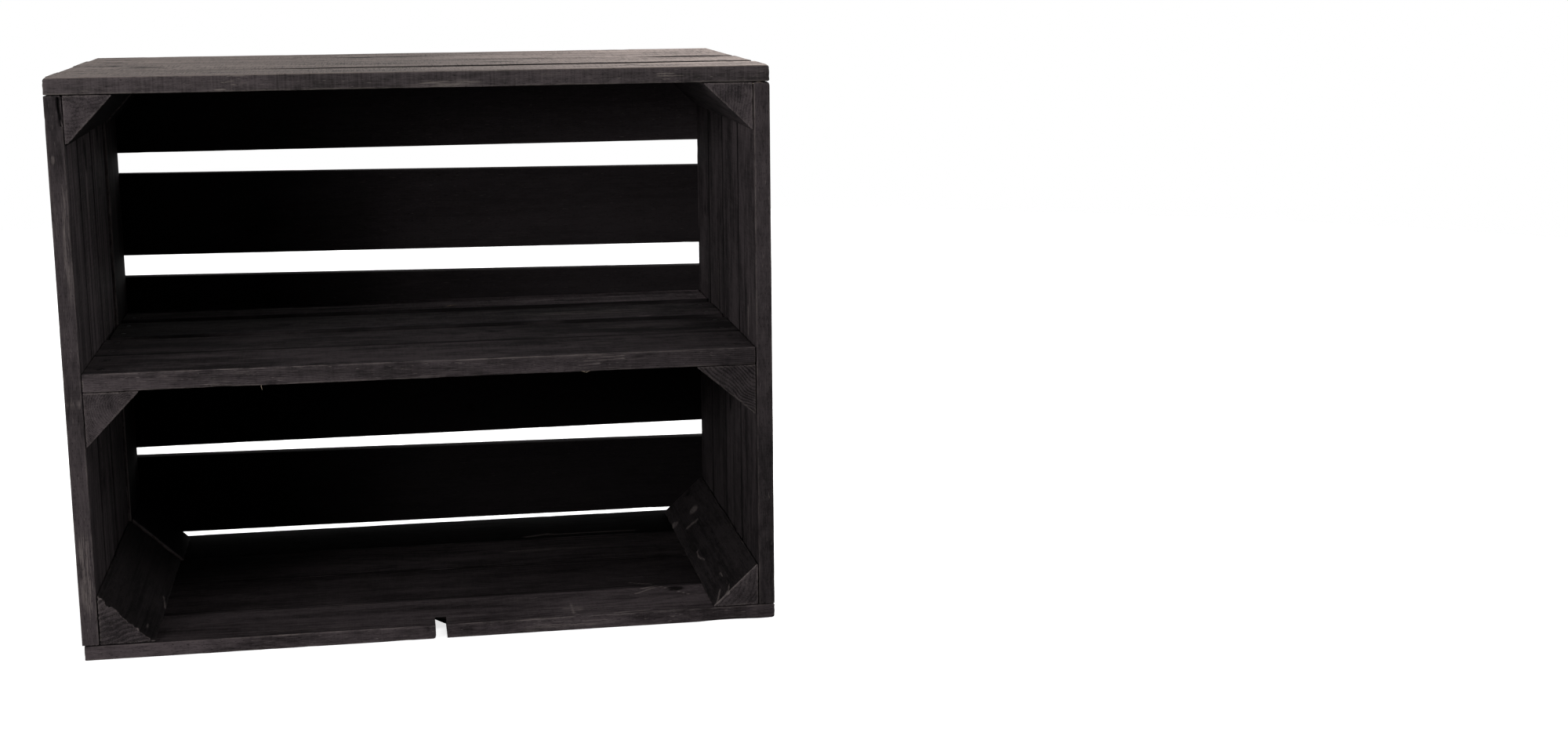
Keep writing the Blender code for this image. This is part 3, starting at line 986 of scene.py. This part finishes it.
def steel(name):
    """Nail heads: dull steel under a thin smear of the black stain, rusty in places."""
    net = Net(name)
    place = net.node("TexCoord").outputs["Object"]
    smear = net.noise(place, (1.1, 1.1, 1.1), detail=3, distortion=0.6)
    rust = net.noise(place, (0.6, 0.6, 0.6), detail=2)
    thick, thin = colour(0.003, 0.0027, 0.0027), colour(0.016, 0.0145, 0.014)
    body = net.mix(net.band(smear, 0.56, 0.76), thick, thin)
    rusty = net.math("MULTIPLY", net.band(rust, 0.52, 0.68), 0.5)
    body = net.mix(rusty, body, colour(0.018, 0.009, 0.006))
    net.feed(net.shader.inputs["Metallic"], net.math("MULTIPLY", net.band(smear, 0.54, 0.74), 0.6))
    height = net.math("ADD", smear, net.math("MULTIPLY", rust, 0.5))
    rough = net.math("MULTIPLY_ADD", rust, 0.35, 0.38)
    return net.finish(body, rough, height, 0.15 * MM, 0.5)


def raw_wood(name):
    """Torn softwood where the stain never reached."""
    net = Net(name)
    place = net.node("TexCoord").outputs["Object"]
    fibre = net.noise(place, (3.0, 0.5, 0.5), detail=3)
    blotch = net.noise(place, (4.0, 4.0, 4.0), detail=2)
    body = net.mix(net.band(fibre, 0.35, 0.65), colour(0.16, 0.115, 0.08), colour(0.42, 0.34, 0.26))
    body = net.mix(net.band(blotch, 0.5, 0.7), body, colour(0.07, 0.06, 0.055))
    return net.finish(body, net.math("MULTIPLY_ADD", blotch, 0.3, 0.6), fibre, 0.2 * MM, 0.6)


# Its pale colour for the weathered upper face stands partly for weathering and partly for a painted
# sheen
TOP_WOOD = wood(
    "weathered_top", deep=colour(0.014, 0.0118, 0.0116), base=colour(0.062, 0.0508, 0.0530),
    dry=colour(0.125, 0.108, 0.098), soak=colour(0.0040, 0.0034, 0.0034),
    faded_and_sheen=colour(0.230, 0.190, 0.172), brush=0.5, roughness=0.64, specular=0.14, bump=0.8, sawn=0.4,
)
BOARD_STAIN = dict(
    deep=colour(0.0135, 0.0110, 0.0118), base=colour(0.070, 0.0572, 0.0606),
    dry=colour(0.150, 0.127, 0.122), soak=colour(0.0024, 0.0020, 0.0021),
    faded_and_sheen=colour(0.085, 0.070, 0.064), brush=0.35, roughness=0.62, bump=0.85,
)
BOARD_WOOD = wood("stained_board", specular=0.10, **BOARD_STAIN)
BOTTOM_WOOD = wood("stained_bottom", specular=0.03, **BOARD_STAIN)
BATTEN_WOOD = wood(
    "stained_batten", deep=colour(0.017, 0.0139, 0.0148), base=colour(0.075, 0.0614, 0.0650),
    dry=colour(0.150, 0.127, 0.122), soak=colour(0.0030, 0.0025, 0.0027),
    faded_and_sheen=colour(0.085, 0.070, 0.064), brush=0.30, roughness=0.64, specular=0.10, bump=1.0,
)
BACK_WOOD = wood(
    "stained_back", deep=colour(0.024, 0.0200, 0.0214), base=colour(0.036, 0.0300, 0.0322),
    dry=colour(0.085, 0.072, 0.068), soak=colour(0.011, 0.0092, 0.0092),
    faded_and_sheen=colour(0.085, 0.070, 0.064), brush=0.2, roughness=0.66, specular=0.04, bump=0.7,
)
NAIL_STEEL = steel("nail_steel")
RAW_WOOD = raw_wood("raw_splinter")


# ---------------------------------------------------------------- marks, in mm

# The crate's top, its outer sides, the inner faces of its walls and the upper face of its bottom
HIGH = TOP / MM
WIDE = SIDE / MM
INNER = WIDE - 12
LOW = 10.5
# The reach of a mark that goes right through a board
THROUGH = 1000


def at(x, depth, z):
    """A place in the crate, from mm across, behind the front and up."""
    return (x * MM, FRONT + depth * MM, z * MM)


def spot(place, reaches, *deep):
    """A mark round a place: its three reaches and, for a chip or a sink, how deep it is."""
    return (at(*place), tuple(reach * MM for reach in reaches), *(value * MM for value in deep))


def line(start, end, half_width, *deep):
    """A straight mark between two places: half its width and, for a groove, how deep it is."""
    return (at(*start), at(*end), half_width * MM, *(value * MM for value in deep))


def knot(along, across, radius):
    """A knot, counted along and across its board."""
    return (along * MM, across * MM, radius * MM)


# ---------------------------------------------------------------- the crate

def nails_on_board(node, nail_x, face):
    """Two nails at each end of a lying board, through its top (1) or bottom (-1) face."""
    low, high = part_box(node)
    z = high.z if face > 0 else low.z
    ys = [low.y + share * (high.y - low.y) for share in NAIL_SHARES]
    return [((x, y, z), (0, 0, face)) for x in (-nail_x, nail_x) for y in ys]


def nails_above(node):
    return nails_on_board(node, TOP_NAIL_X, 1)


def nails_below(node):
    return nails_on_board(node, TOP_NAIL_X, -1)


def nails_in_shelf(node):
    return nails_on_board(node, SHELF_NAIL_X, 1)


def nails_in_wall(node):
    """Two nails at each of three heights, through the outer face of an upright board."""
    low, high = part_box(node)
    x, outward = (high.x, 1) if low.x > 0 else (low.x, -1)
    ys = [low.y + share * (high.y - low.y) for share in NAIL_SHARES]
    return [((x, y, z), (outward, 0, 0)) for z in WALL_NAIL_HEIGHTS for y in ys]


def nails_in_slat(node):
    """One nail at each end of a back board, halfway up its slanting end."""
    low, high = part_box(node)
    edges = slat_edges(node, low, high)
    return [((x, high.y, low.z + sum(edge) / 2), (0, 1, 0)) for x, edge in zip(BACK_NAIL_X, edges)]


# How far a board's edge stands off the seam between it and its neighbour
SEAM = 0.35 * MM


def gaps(number):
    """Gaps before and behind a board of a panel of four; the outer edges stay where they are."""
    return (0.0 if number == 0 else SEAM, 0.0 if number == 3 else SEAM)


def build_panel(panel, lie, material, seeds, nails_of, boards, slot="stained_board", **shared):
    """A panel's boards, each with settings of its own, and one piece for all of its nails."""
    nodes = sorted(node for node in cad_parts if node.startswith(panel + "_board_"))
    nails = []
    for number, (node, own) in enumerate(zip(nodes, boards)):
        here = nails_of(node)
        settings = {"gap": gaps(number), **shared, **own}
        board(node, lie, material, slot, seeds[0] + number, here, **settings)
        nails += here
    replaced = sorted(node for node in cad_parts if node.startswith(panel + "_nail_"))
    nail_row("nails_" + panel, nails, seeds[1], replaced)


def build_top():
    """Weathered boards: the surface that a hand or a cup meets."""
    # Short strokes of a dry brush on the front edge, in two places: across and below the top
    dashes = (
        (-131.7, 5.7, -127.6, 5.2), (-126.8, 5.0, -122.3, 4.6), (-126.8, 7.3, -122.3, 6.9),
        (-134.8, 10.6, -129.9, 10.0), (-123.6, 3.3, -119.1, 2.9), (-130.7, 1.6, -114.7, 1.0),
        (169.1, 6.7, 189.5, 6.7), (169.1, 5.0, 179.9, 5.0), (173.0, 9.0, 177.6, 9.0),
    )
    extra_marks = [
        ((x * MM, FRONT, TOP - drop * MM), (to_x * MM, FRONT, TOP - to_drop * MM), 0.7 * MM)
        for x, drop, to_x, to_drop in dashes
    ]
    torn_seam = spot((-20, 242, HIGH), (45, 5, 3), 2.0)
    boards = (
        dict(
            knots=(knot(405, 40, 5),),
            bites=(spot((-WIDE, 0, HIGH), (6, 20, 6), 2.4), spot((WIDE, 0, HIGH), (4, 14, 4), 1.6)),
            sinks=(spot((100, 75, HIGH), (240, 18, THROUGH), 1.1),),
            scuffs=(spot((20, 0, HIGH - 9), (30, 3, 3)),),
            strokes=extra_marks, front=(1.4, 1.15, 1.12), step=3.5 * MM,
        ),
        dict(
            knots=(knot(52, 58, 7), knot(330, 20, 4)),
            cracks=(line((-209, 118, HIGH), (-177, 118, HIGH), 2.0, 2.0),
                    line((-160, 77.5, HIGH), (-130, 77.5, HIGH), 0.8, 1.2),
                    line((48, 120, HIGH), (74, 120, HIGH), 1.6, 1.6)),
            # The first dark spot is painted shade on the step where this board stands above the front
            # one
            stains=(spot((100, 75, HIGH - 1.5), (240, 1.5, 4)), spot((-193, 118, HIGH), (24, 5, 3)),
                    spot((61, 120, HIGH), (22, 5, 3)), spot((215, 157, HIGH), (35, 4, 3)),
                    spot((-219, 150, HIGH), (2.5, 12, 3))),
            sinks=(spot((215, 160, HIGH), (45, 15, THROUGH), 1.1),),
        ),
        dict(
            knots=(knot(210, 66, 8),),
            cracks=(line((-82, 180, HIGH), (-96, 238, HIGH), 0.9, 0.5),),
            bites=(torn_seam,),
            stains=(spot((-20, 236, HIGH), (50, 9, 3)), spot((215, 163, HIGH), (40, 4, 3)),
                    spot((-225, 205, HIGH), (18, 5, 3))),
        ),
        dict(knots=(knot(300, 30, 6),), bites=(torn_seam,)),
    )
    # The boards' lightness levels are painted light: a painted sheen growing toward the right end, and
    # painted light on the front board's front edge. The pale fading of the upper faces is partly
    # weathering and partly painted sheen.
    build_panel("top", "flat", TOP_WOOD, (100, 190), nails_above, boards, slot="weathered_top",
                ridge=0.18 * MM, bleach=0.95, streak=0.55, shade=(0.95, 0.85, 2.15), inner=False,
                grime=0.35)


def build_bottom():
    """The boards that the crate stands on; the front one has the split."""
    # Pale strokes where the grain tears round a knot, at the seam behind the front board
    dashes = (
        (151, 50, 168, 64), (156, 62, 170, 68), (150, 79, 166, 71), (172, 64, 184, 49),
        (184, 49, 190, 40),
    )
    torn = [line((x, depth, LOW), (to_x, to_depth, LOW), 2.0) for x, depth, to_x, to_depth in dashes]
    # The lightness levels are painted shade that deepens toward the rear boards and the left ends, and
    # painted light on the front board's front edge
    boards = (
        dict(
            split=True, shade=(0.48, 0.97, 1.45), front=(1.35, 1.1, 1.0), step=3.0 * MM,
            knots=(knot(431, 58, 6),),
            bites=(spot((214, 0, 0), (24, 4, 3), 2.6), spot((WIDE, 0, 0), (4, 10, 4), 1.2)),
            scuffs=(spot((-125, 0, 6), (14, 3, 6)), spot((100, 0, 5), (40, 3, 3)),
                    spot((100, 20, LOW), (9, 16, 3))),
            stains=(spot((181, 56, LOW), (7, 6, 3)),),
            strokes=(*torn, line((98.5, 34, LOW), (101.5, 4, LOW), 2.2),
                     line((66, 1, LOW), (101, 1, LOW), 1.2), line((128, 3, LOW), (156, 6, LOW), 1.5)),
        ),
        dict(
            shade=(0.35, 0.50, 0.25), step=3.0 * MM, strokes=torn,
            cracks=(line((135, 94, LOW), (175, 94, LOW), 0.8, 1.4),),
        ),
        dict(shade=(0.06, 0.75, 0.5), scuffs=(spot((100, 190, LOW), (45, 9, 3)),)),
        dict(
            shade=(0.02, 0.10, 0.05), knots=(knot(150, 30, 6),),
            scuffs=(spot((120, 255, LOW), (60, 7, 3)),),
            # These strokes along the rear board's front edge are partly smears and partly a painted
            # highlight where the edge catches the light
            strokes=(line((78, 233, LOW), (100, 239, LOW), 4),
                     line((100, 237, LOW), (174, 236, LOW), 2.5)),
        ),
    )
    build_panel("bottom", "flat", BOTTOM_WOOD, (200, 290), nails_below, boards, calm=0.45, streak=0.3)


def build_left_wall():
    """Upright boards, counted along from the floor; the rear one stands 2 mm further in."""
    rear = 2 - INNER
    # The lightness levels are painted light and shade on the inner faces: lighter toward the top, and
    # near black on the rear board in the shadowed rear corner; the front edges have levels of their own
    boards = (
        dict(
            shade=(0.85, 1.15, 1.6),
            scuffs=(spot((-244, 0, 185), (8, 3, 3)), spot((-244, 0, 65), (8, 3, 35)),
                    spot((-241, 0, 300), (3, 3, 50))),
            cracks=(line((-INNER - 1.8, 0, HIGH - 13), (-INNER - 0.6, 0, HIGH - 31), 2.1, 4.5),
                    line((-INNER - 3.6, 0, HIGH - 18), (-INNER - 1.4, 0, HIGH - 24), 0.8, 1.6)),
            bites=(spot((-INNER, 0, HIGH - 36), (3, 6, 14), 1.2),
                   spot((-INNER, 0, HIGH - 20), (6, 8, 12), 3.2)),
            bare=(spot((-INNER - 8, 0, 356), (2.2, 3, 3)), spot((-INNER - 7, 0, 60), (1.5, 3, 9))),
        ),
        dict(
            shade=(0.9, 1.25, 1.75), knots=(knot(345, 36, 6), knot(100, 20, 5)),
            scuffs=(spot((-238, 107, 322), (5, 12, 24)), spot((-238, 120, 362), (5, 24, 14))),
            stains=(spot((-INNER, 107, 348), (5, 7, 13)),),
        ),
        dict(
            shade=(0.7, 1.05, 1.6), knots=(knot(352, 40, 8),),
            scuffs=(spot((-238, 180, 350), (5, 26, 36)), spot((-238, 160, 215), (5, 12, 40))),
        ),
        dict(
            shade=(0.06, 0.3, 0.65), gap=(0.0, 0.0), knots=(knot(325, 18, 4), knot(120, 50, 7)),
            # This long pale patch and the stroke below are a painted highlight on the board's lit front
            # edge
            scuffs=(spot((-236, 217, 200), (5, 2.5, 400)),),
            stains=(spot((rear, 229, 337), (5, 8, 12)),),
            strokes=(line((rear, 217.2, 12), (rear, 217.2, 395), 1.5),),
        ),
    )
    build_panel("left", "wall", BOARD_WOOD, (250, 389), nails_in_wall, boards, step=3.5 * MM,
                streak=0.75, rings=0.25, front=(1.0, 0.95, 0.75))


def build_right_wall():
    """Upright boards, counted along from the floor."""
    # The lightness levels make the inner faces and the front edges darker toward the floor
    boards = (
        dict(
            shade=(0.45, 0.9, 1.5), step=3.5 * MM, scuffs=(spot((238, 30, 235), (4, 2.5, 12)),),
            bites=(spot((INNER, 0, HIGH - 45), (3, 5, 7), 1.5),
                   spot((WIDE, 0, HIGH - 12), (9, 5, 3), 1.6)),
            strokes=(line((INNER, 35.4, 231), (INNER, 36.8, 210), 3.2),),
        ),
        dict(shade=(0.40, 0.9, 1.2), knots=(knot(130, 50, 6),)),
        dict(shade=(0.35, 0.7, 1.05), strokes=(line((INNER, 178, 247), (INNER, 182, 206), 2.2),)),
        dict(shade=(0.45, 0.8, 1.1), knots=(knot(270, 22, 5),)),
    )
    build_panel("right", "wall", BOARD_WOOD, (350, 391), nails_in_wall, boards, streak=0.4,
                rings=0.12, front=(0.5, 0.75, 0.9))


def build_back():
    """Five slats with slots between them, from the top down."""
    # The lightness levels are painted shade: near black at the left ends, which the left wall shades,
    # darker on the slats under the shelf, and painted light toward the top slat's right end
    boards = (
        dict(shade=(0.05, 0.9, 2.2), knots=(knot(60, 20, 4),)),
        dict(shade=(0.05, 0.95, 0.7), knots=(knot(120, 20, 5),)),
        dict(shade=(0.05, 0.65, 0.65), knots=(knot(450, 20, 4),)),
        dict(shade=(0.03, 0.2, 0.12), knots=(knot(290, 20, 4),)),
        dict(shade=(0.03, 0.4, 0.28), knots=(knot(100, 20, 5),)),
    )
    build_panel("back", "back", BACK_WOOD, (400, 490), nails_in_slat, boards, gap=(0.0, 0.0),
                rings=0.1, streak=0.3, calm=0.3)


def build_shelf():
    """Four boards; the front one shows fine growth rings on its edge."""
    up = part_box("shelf_board_1")[1].z / MM
    # The lightness levels are painted light and shade: darker at the left ends, and lighter toward the
    # right on the rear boards, most on the last, a painted sheen of the light through the back's slots;
    # the front edge has levels of its own
    boards = (
        dict(
            shade=(0.65, 0.95, 0.7), front=(1.25, 1.05, 0.65), step=3.5 * MM, ridge=0.16 * MM,
            pith=(8 * MM, -70 * MM), ring_step=1.35 * MM, rings=0.08, edge_rings=0.5, streak=0.3,
            scuffs=(spot((-146, 0, up - 11), (12, 3, 3)), spot((130, 0, up - 9), (45, 3, 2.5)),
                    spot((120, 0, up), (60, 4, 2))),
            bites=(spot((-146, 0, up - 13), (12, 4, 4), 1.8), spot((50, 0, up - 13), (50, 3, 3), 1.0)),
            bare=(spot((-150, 0, up - 12.4), (3.5, 2, 1.2)), spot((-141, 0, up - 12.2), (2.5, 2, 1.2))),
            strokes=(line((108, 0, up - 5.4), (142, 0, up - 4.4), 0.5),
                     line((114, 0, up - 3.0), (140, 0, up - 2.4), 0.5),
                     line((106, 0, up - 8.0), (124, 0, up - 7.4), 0.5),
                     line((20, 0, up - 0.6), (90, 0, up - 0.6), 0.9)),
        ),
        dict(
            shade=(0.5, 0.75, 0.65), rings=0.2, streak=0.25, knots=(knot(290, 40, 5),),
            scuffs=(spot((170, 110, up), (45, 14, 2)),),
            sinks=(spot((60, 150, up), (400, 14, THROUGH), 1.3),),
        ),
        dict(
            shade=(0.4, 1.0, 1.3), streak=0.2, knots=(knot(130, 30, 5),),
            scuffs=(spot((130, 190, up), (70, 12, 2)),), bare=(spot((176, 160, up), (9, 3, 2)),),
            sinks=(spot((60, 223, up), (400, 12, THROUGH), 1.1),),
        ),
        dict(
            shade=(0.4, 1.6, 4.2), scuffs=(spot((-120, 260, up), (60, 9, 2)),),
            stains=(spot((100, 235, up), (140, 3, 2)),),
        ),
    )
    build_panel("shelf", "flat", BOARD_WOOD, (500, 590), nails_in_shelf, boards)


def build_battens():
    """Triangular posts and shelf supports: sawn ends to the front, rings showing."""
    # The lower right post is rubbed and dry-brushed more than the others
    extra_marks = dict(
        bare=(spot((221.3, 227, 28.0), (6, 11, 6)), spot((205.5, 234, 13.5), (6, 9, 6)),
              spot((214, 1, 21.3), (3, 5, 3))),
        strokes=(line((213, 200.3, 20.3), (219, 197.7, 25.9), 5),
                 line((210.4, 132.6, 17.9), (209.3, 117.1, 17.0), 1.6),
                 line((209.3, 117.1, 17.0), (212, 102, 19.5), 1.4),
                 line((215.8, 50, 22.9), (216.1, 38.9, 23.2), 1.2),
                 line((206.1, 1, 14), (211, 18, 18.5), 1.8), line((215, 1, 22.2), (217, 12, 24), 1.4),
                 # The last two strokes are painted highlights along the front end's slanting and lower
                 # arrises
                 line((202.5, 1, 10.7), (238, 1, 43.3), 1.2), line((202.5, 0, 11), (238, 0, 11), 0.9)),
        stains=(spot((222.5, 275, 30), (3, 6, 3)), spot((223.5, 108, 30), (1.5, 3, 1.5))),
    )
    # The lightness levels of the long faces and front ends below are painted light and shade: near
    # black on the rear pieces and the left posts' long faces, which lie in shadow, and set lighter or
    # darker on the front ends
    rows = {
        "post_top_left_front": dict(
            pith=(10 * MM, -40 * MM), ring_step=2.6 * MM, rings=0.2, rough=0.10 * MM, shade=0.18,
            face=1.12),
        "post_top_left_rear": dict(shade=0.12),
        "post_top_right": dict(
            pith=(60 * MM, 5 * MM), ring_step=2.2 * MM, rings=0.3, rough=0.12 * MM, shade=0.9,
            face=1.12),
        "post_bottom_left_front": dict(
            up=64, pith=(42 * MM, -95 * MM), ring_step=3.8 * MM, wavy=2.2 * MM, rings=0.8,
            rough=1.1 * MM, ragged=1.7 * MM, shade=0.23, face=1.08,
            strokes=(line((-202.6, 104, 15.1), (-199.6, 80, 12.2), 1.6),
                     line((-205.8, 24, 18.1), (-206, 12, 18.3), 1.8))),
        "post_bottom_left_rear": dict(
            # Its stroke is a painted highlight on its lit front edge; its long faces are near black,
            # painted shade
            rings=0.2, shade=0.04, strokes=(line((-236, 217.5, 48.5), (-196, 217.5, 10.7), 3),)),
        "post_bottom_right": dict(
            step=3 * MM, pith=(48 * MM, 30 * MM), ring_step=3.4 * MM, rings=0.25, rough=0.10 * MM,
            shade=0.3, **extra_marks),
        "shelf_support_left_front": dict(
            pith=(30 * MM, 11 * MM), ring_step=1.5 * MM, rings=0.35, rough=0.12 * MM, shade=0.6,
            face=1.08),
        "shelf_support_left_rear": dict(shade=0.3),
        "shelf_support_right": dict(
            pith=(-45 * MM, -55 * MM), ring_step=2.3 * MM, rings=0.95, rough=0.5 * MM, shade=0.65,
            face=0.66, bare=(spot((196, 0, 189), (3, 3, 3)),)),
    }
    for number, (node, settings) in enumerate(rows.items()):
        toward = (1 if "left" in node else -1, 1 if "bottom" in node else -1)
        batten(node, toward, BATTEN_WOOD, 600 + number, **settings)


def build_splinters():
    """Pale slivers torn out of the shelf's edge, off a board and out of the top right corner."""
    under, over = (corner.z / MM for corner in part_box("shelf_board_1"))
    width, thickness = 0.9 * MM, 0.6 * MM
    hanging = (at(-116.5, 1.5, under + 1.5), at(-116.5, 1, under - 1), at(-115.9, 1, under - 3.5))
    splinter("splinter_shelf_edge", hanging, width, thickness, 71)
    curled = (at(108, 1, under + 1), at(113, 0.5, under - 0.6), at(118, 0.5, under + 1.2))
    splinter("splinter_shelf_curl", curled, width, thickness, 74)
    lying = (at(22, 245, over + 0.2), at(27, 246, over + 0.7), at(32, 248, over + 0.4))
    splinter("splinter_on_shelf", lying, 1.4 * MM, 0.7 * MM, 72)
    x, z = INNER - 0.5, HIGH - 12.4
    corner = (at(x, 1.2, z - 1), at(x + 4, 0.8, z + 0.2), at(x + 8, 1, z - 0.4))
    splinter("splinter_top_corner", corner, width, thickness, 73)


# ---------------------------------------------------------------- floor, light and camera

FLOOR_RADIUS = 2.6
FLOOR_GLOW = 0.75
FLOOR_GREY = 0.22


def build_floor():
    """A wide round floor, pale and very slightly uneven in tone, that throws little light back."""
    bm = bmesh.new()
    bmesh.ops.create_circle(bm, cap_ends=True, segments=160, radius=FLOOR_RADIUS)
    mesh = bpy.data.meshes.new("floor")
    bm.to_mesh(mesh)
    bm.free()
    floor = bpy.data.objects.new("floor", mesh)
    bpy.context.scene.collection.objects.link(floor)
    floor.location = (0.0, 0.0, -0.2 * MM)
    net = Net("pale_floor")
    place = net.node("TexCoord").outputs["Object"]
    tone = net.noise(place, (900, 900, 900), detail=2)
    pale = net.mix(tone, colour(0.86, 0.86, 0.86), colour(0.90, 0.90, 0.90))
    eye = net.node("LightPath").outputs["Is Camera Ray"]
    grey = colour(FLOOR_GREY, FLOOR_GREY, FLOOR_GREY)
    net.feed(net.shader.inputs["Base Color"], net.mix(eye, grey, pale))
    net.feed(net.shader.inputs["Emission Strength"], net.math("MULTIPLY", eye, FLOOR_GLOW))
    net.shader.inputs["Emission Color"].default_value = colour(1, 1, 1)
    net.shader.inputs["Roughness"].default_value = 0.9
    net.shader.inputs["Specular IOR Level"].default_value = 0.1
    mesh.materials.append(net.material)


def build_world(seen, behind, above, front, gradient):
    """White to the eye; as a light it is bright behind and above the crate and dim in front.

    gradient is how much brighter it grows behind, from the left of the crate to the right.
    """
    world = bpy.data.worlds.new("studio")
    world.use_nodes = True
    bpy.context.scene.world = world
    net = Net.of_tree(world.node_tree)
    parts = net.node("SeparateXYZ", {0: net.node("TexCoord").outputs["Generated"]})
    across, back, up = parts.outputs
    strength = net.math("MULTIPLY_ADD", net.band(back, 0.0, 0.55), behind, front)
    strength = net.math("MULTIPLY", strength, net.math("MULTIPLY_ADD", across, gradient, 1.0))
    strength = net.math("MULTIPLY_ADD", net.band(up, 0.35, 0.9), above, strength)
    light = net.node("Background", {"Strength": net.math("MAXIMUM", strength, 0.0)})
    white = net.node("Background", {"Color": colour(1, 1, 1), "Strength": seen})
    eye = net.node("LightPath").outputs["Is Camera Ray"]
    chosen = net.node("MixShader", {0: eye, 1: light.outputs[0], 2: white.outputs[0]})
    net.node("OutputWorld", {"Surface": chosen.outputs[0]})


def area_light(name, place, size, power, target=(0.0, 0.0, 0.2)):
    """A soft rectangular lamp, its width and height in metres, turned to a target."""
    light = bpy.data.lights.new(name, "AREA")
    light.shape = "RECTANGLE"
    light.size, light.size_y = size
    light.energy = power
    lamp = bpy.data.objects.new(name, light)
    bpy.context.scene.collection.objects.link(lamp)
    lamp.location = place
    lamp.rotation_euler = (Vector(target) - Vector(place)).to_track_quat("-Z", "Y").to_euler()


def build_lights():
    """A lamp over the crate and four in front of it, round a world that is brightest behind."""
    build_world(seen=1.0, behind=0.66, above=0.05, front=0.0, gradient=1.5)
    area_light("overhead", (0.7, 0.9, 2.2), (2.5, 1.6), 42.0, target=(0.1, 0.3, 0.0))
    area_light("left", (-1.6, -1.5, 0.80), (0.8, 0.5), 19.0)
    area_light("front left", (-1.7, -2.75, 0.85), (0.8, 0.7), 13.0)
    area_light("high front", (0.4, -1.7, 2.3), (1.4, 1.0), 21.0)
    area_light("right", (2.4, -1.3, 0.8), (1.2, 1.0), 13.0)


CAMERA_PLACE = (-0.0284, -1.7029, 0.4895)
CAMERA_TURN = (79.181, 0.494, -10.559)
LENS = 50.15
SENSOR_WIDTH = 36.0


def build_camera():
    """A camera before the crate, a little above it, turned by its angles in degrees."""
    camera = bpy.data.cameras.new("camera")
    camera.sensor_width = SENSOR_WIDTH
    camera.lens = LENS
    holder = bpy.data.objects.new("camera", camera)
    bpy.context.scene.collection.objects.link(holder)
    holder.location = CAMERA_PLACE
    holder.rotation_euler = [math.radians(angle) for angle in CAMERA_TURN]
    bpy.context.scene.camera = holder


build_camera()
build_floor()
build_lights()
bpy.context.scene.view_settings.view_transform = "Standard"

build_top()
build_bottom()
build_left_wall()
build_right_wall()
build_back()
build_shelf()
build_battens()
build_splinters()
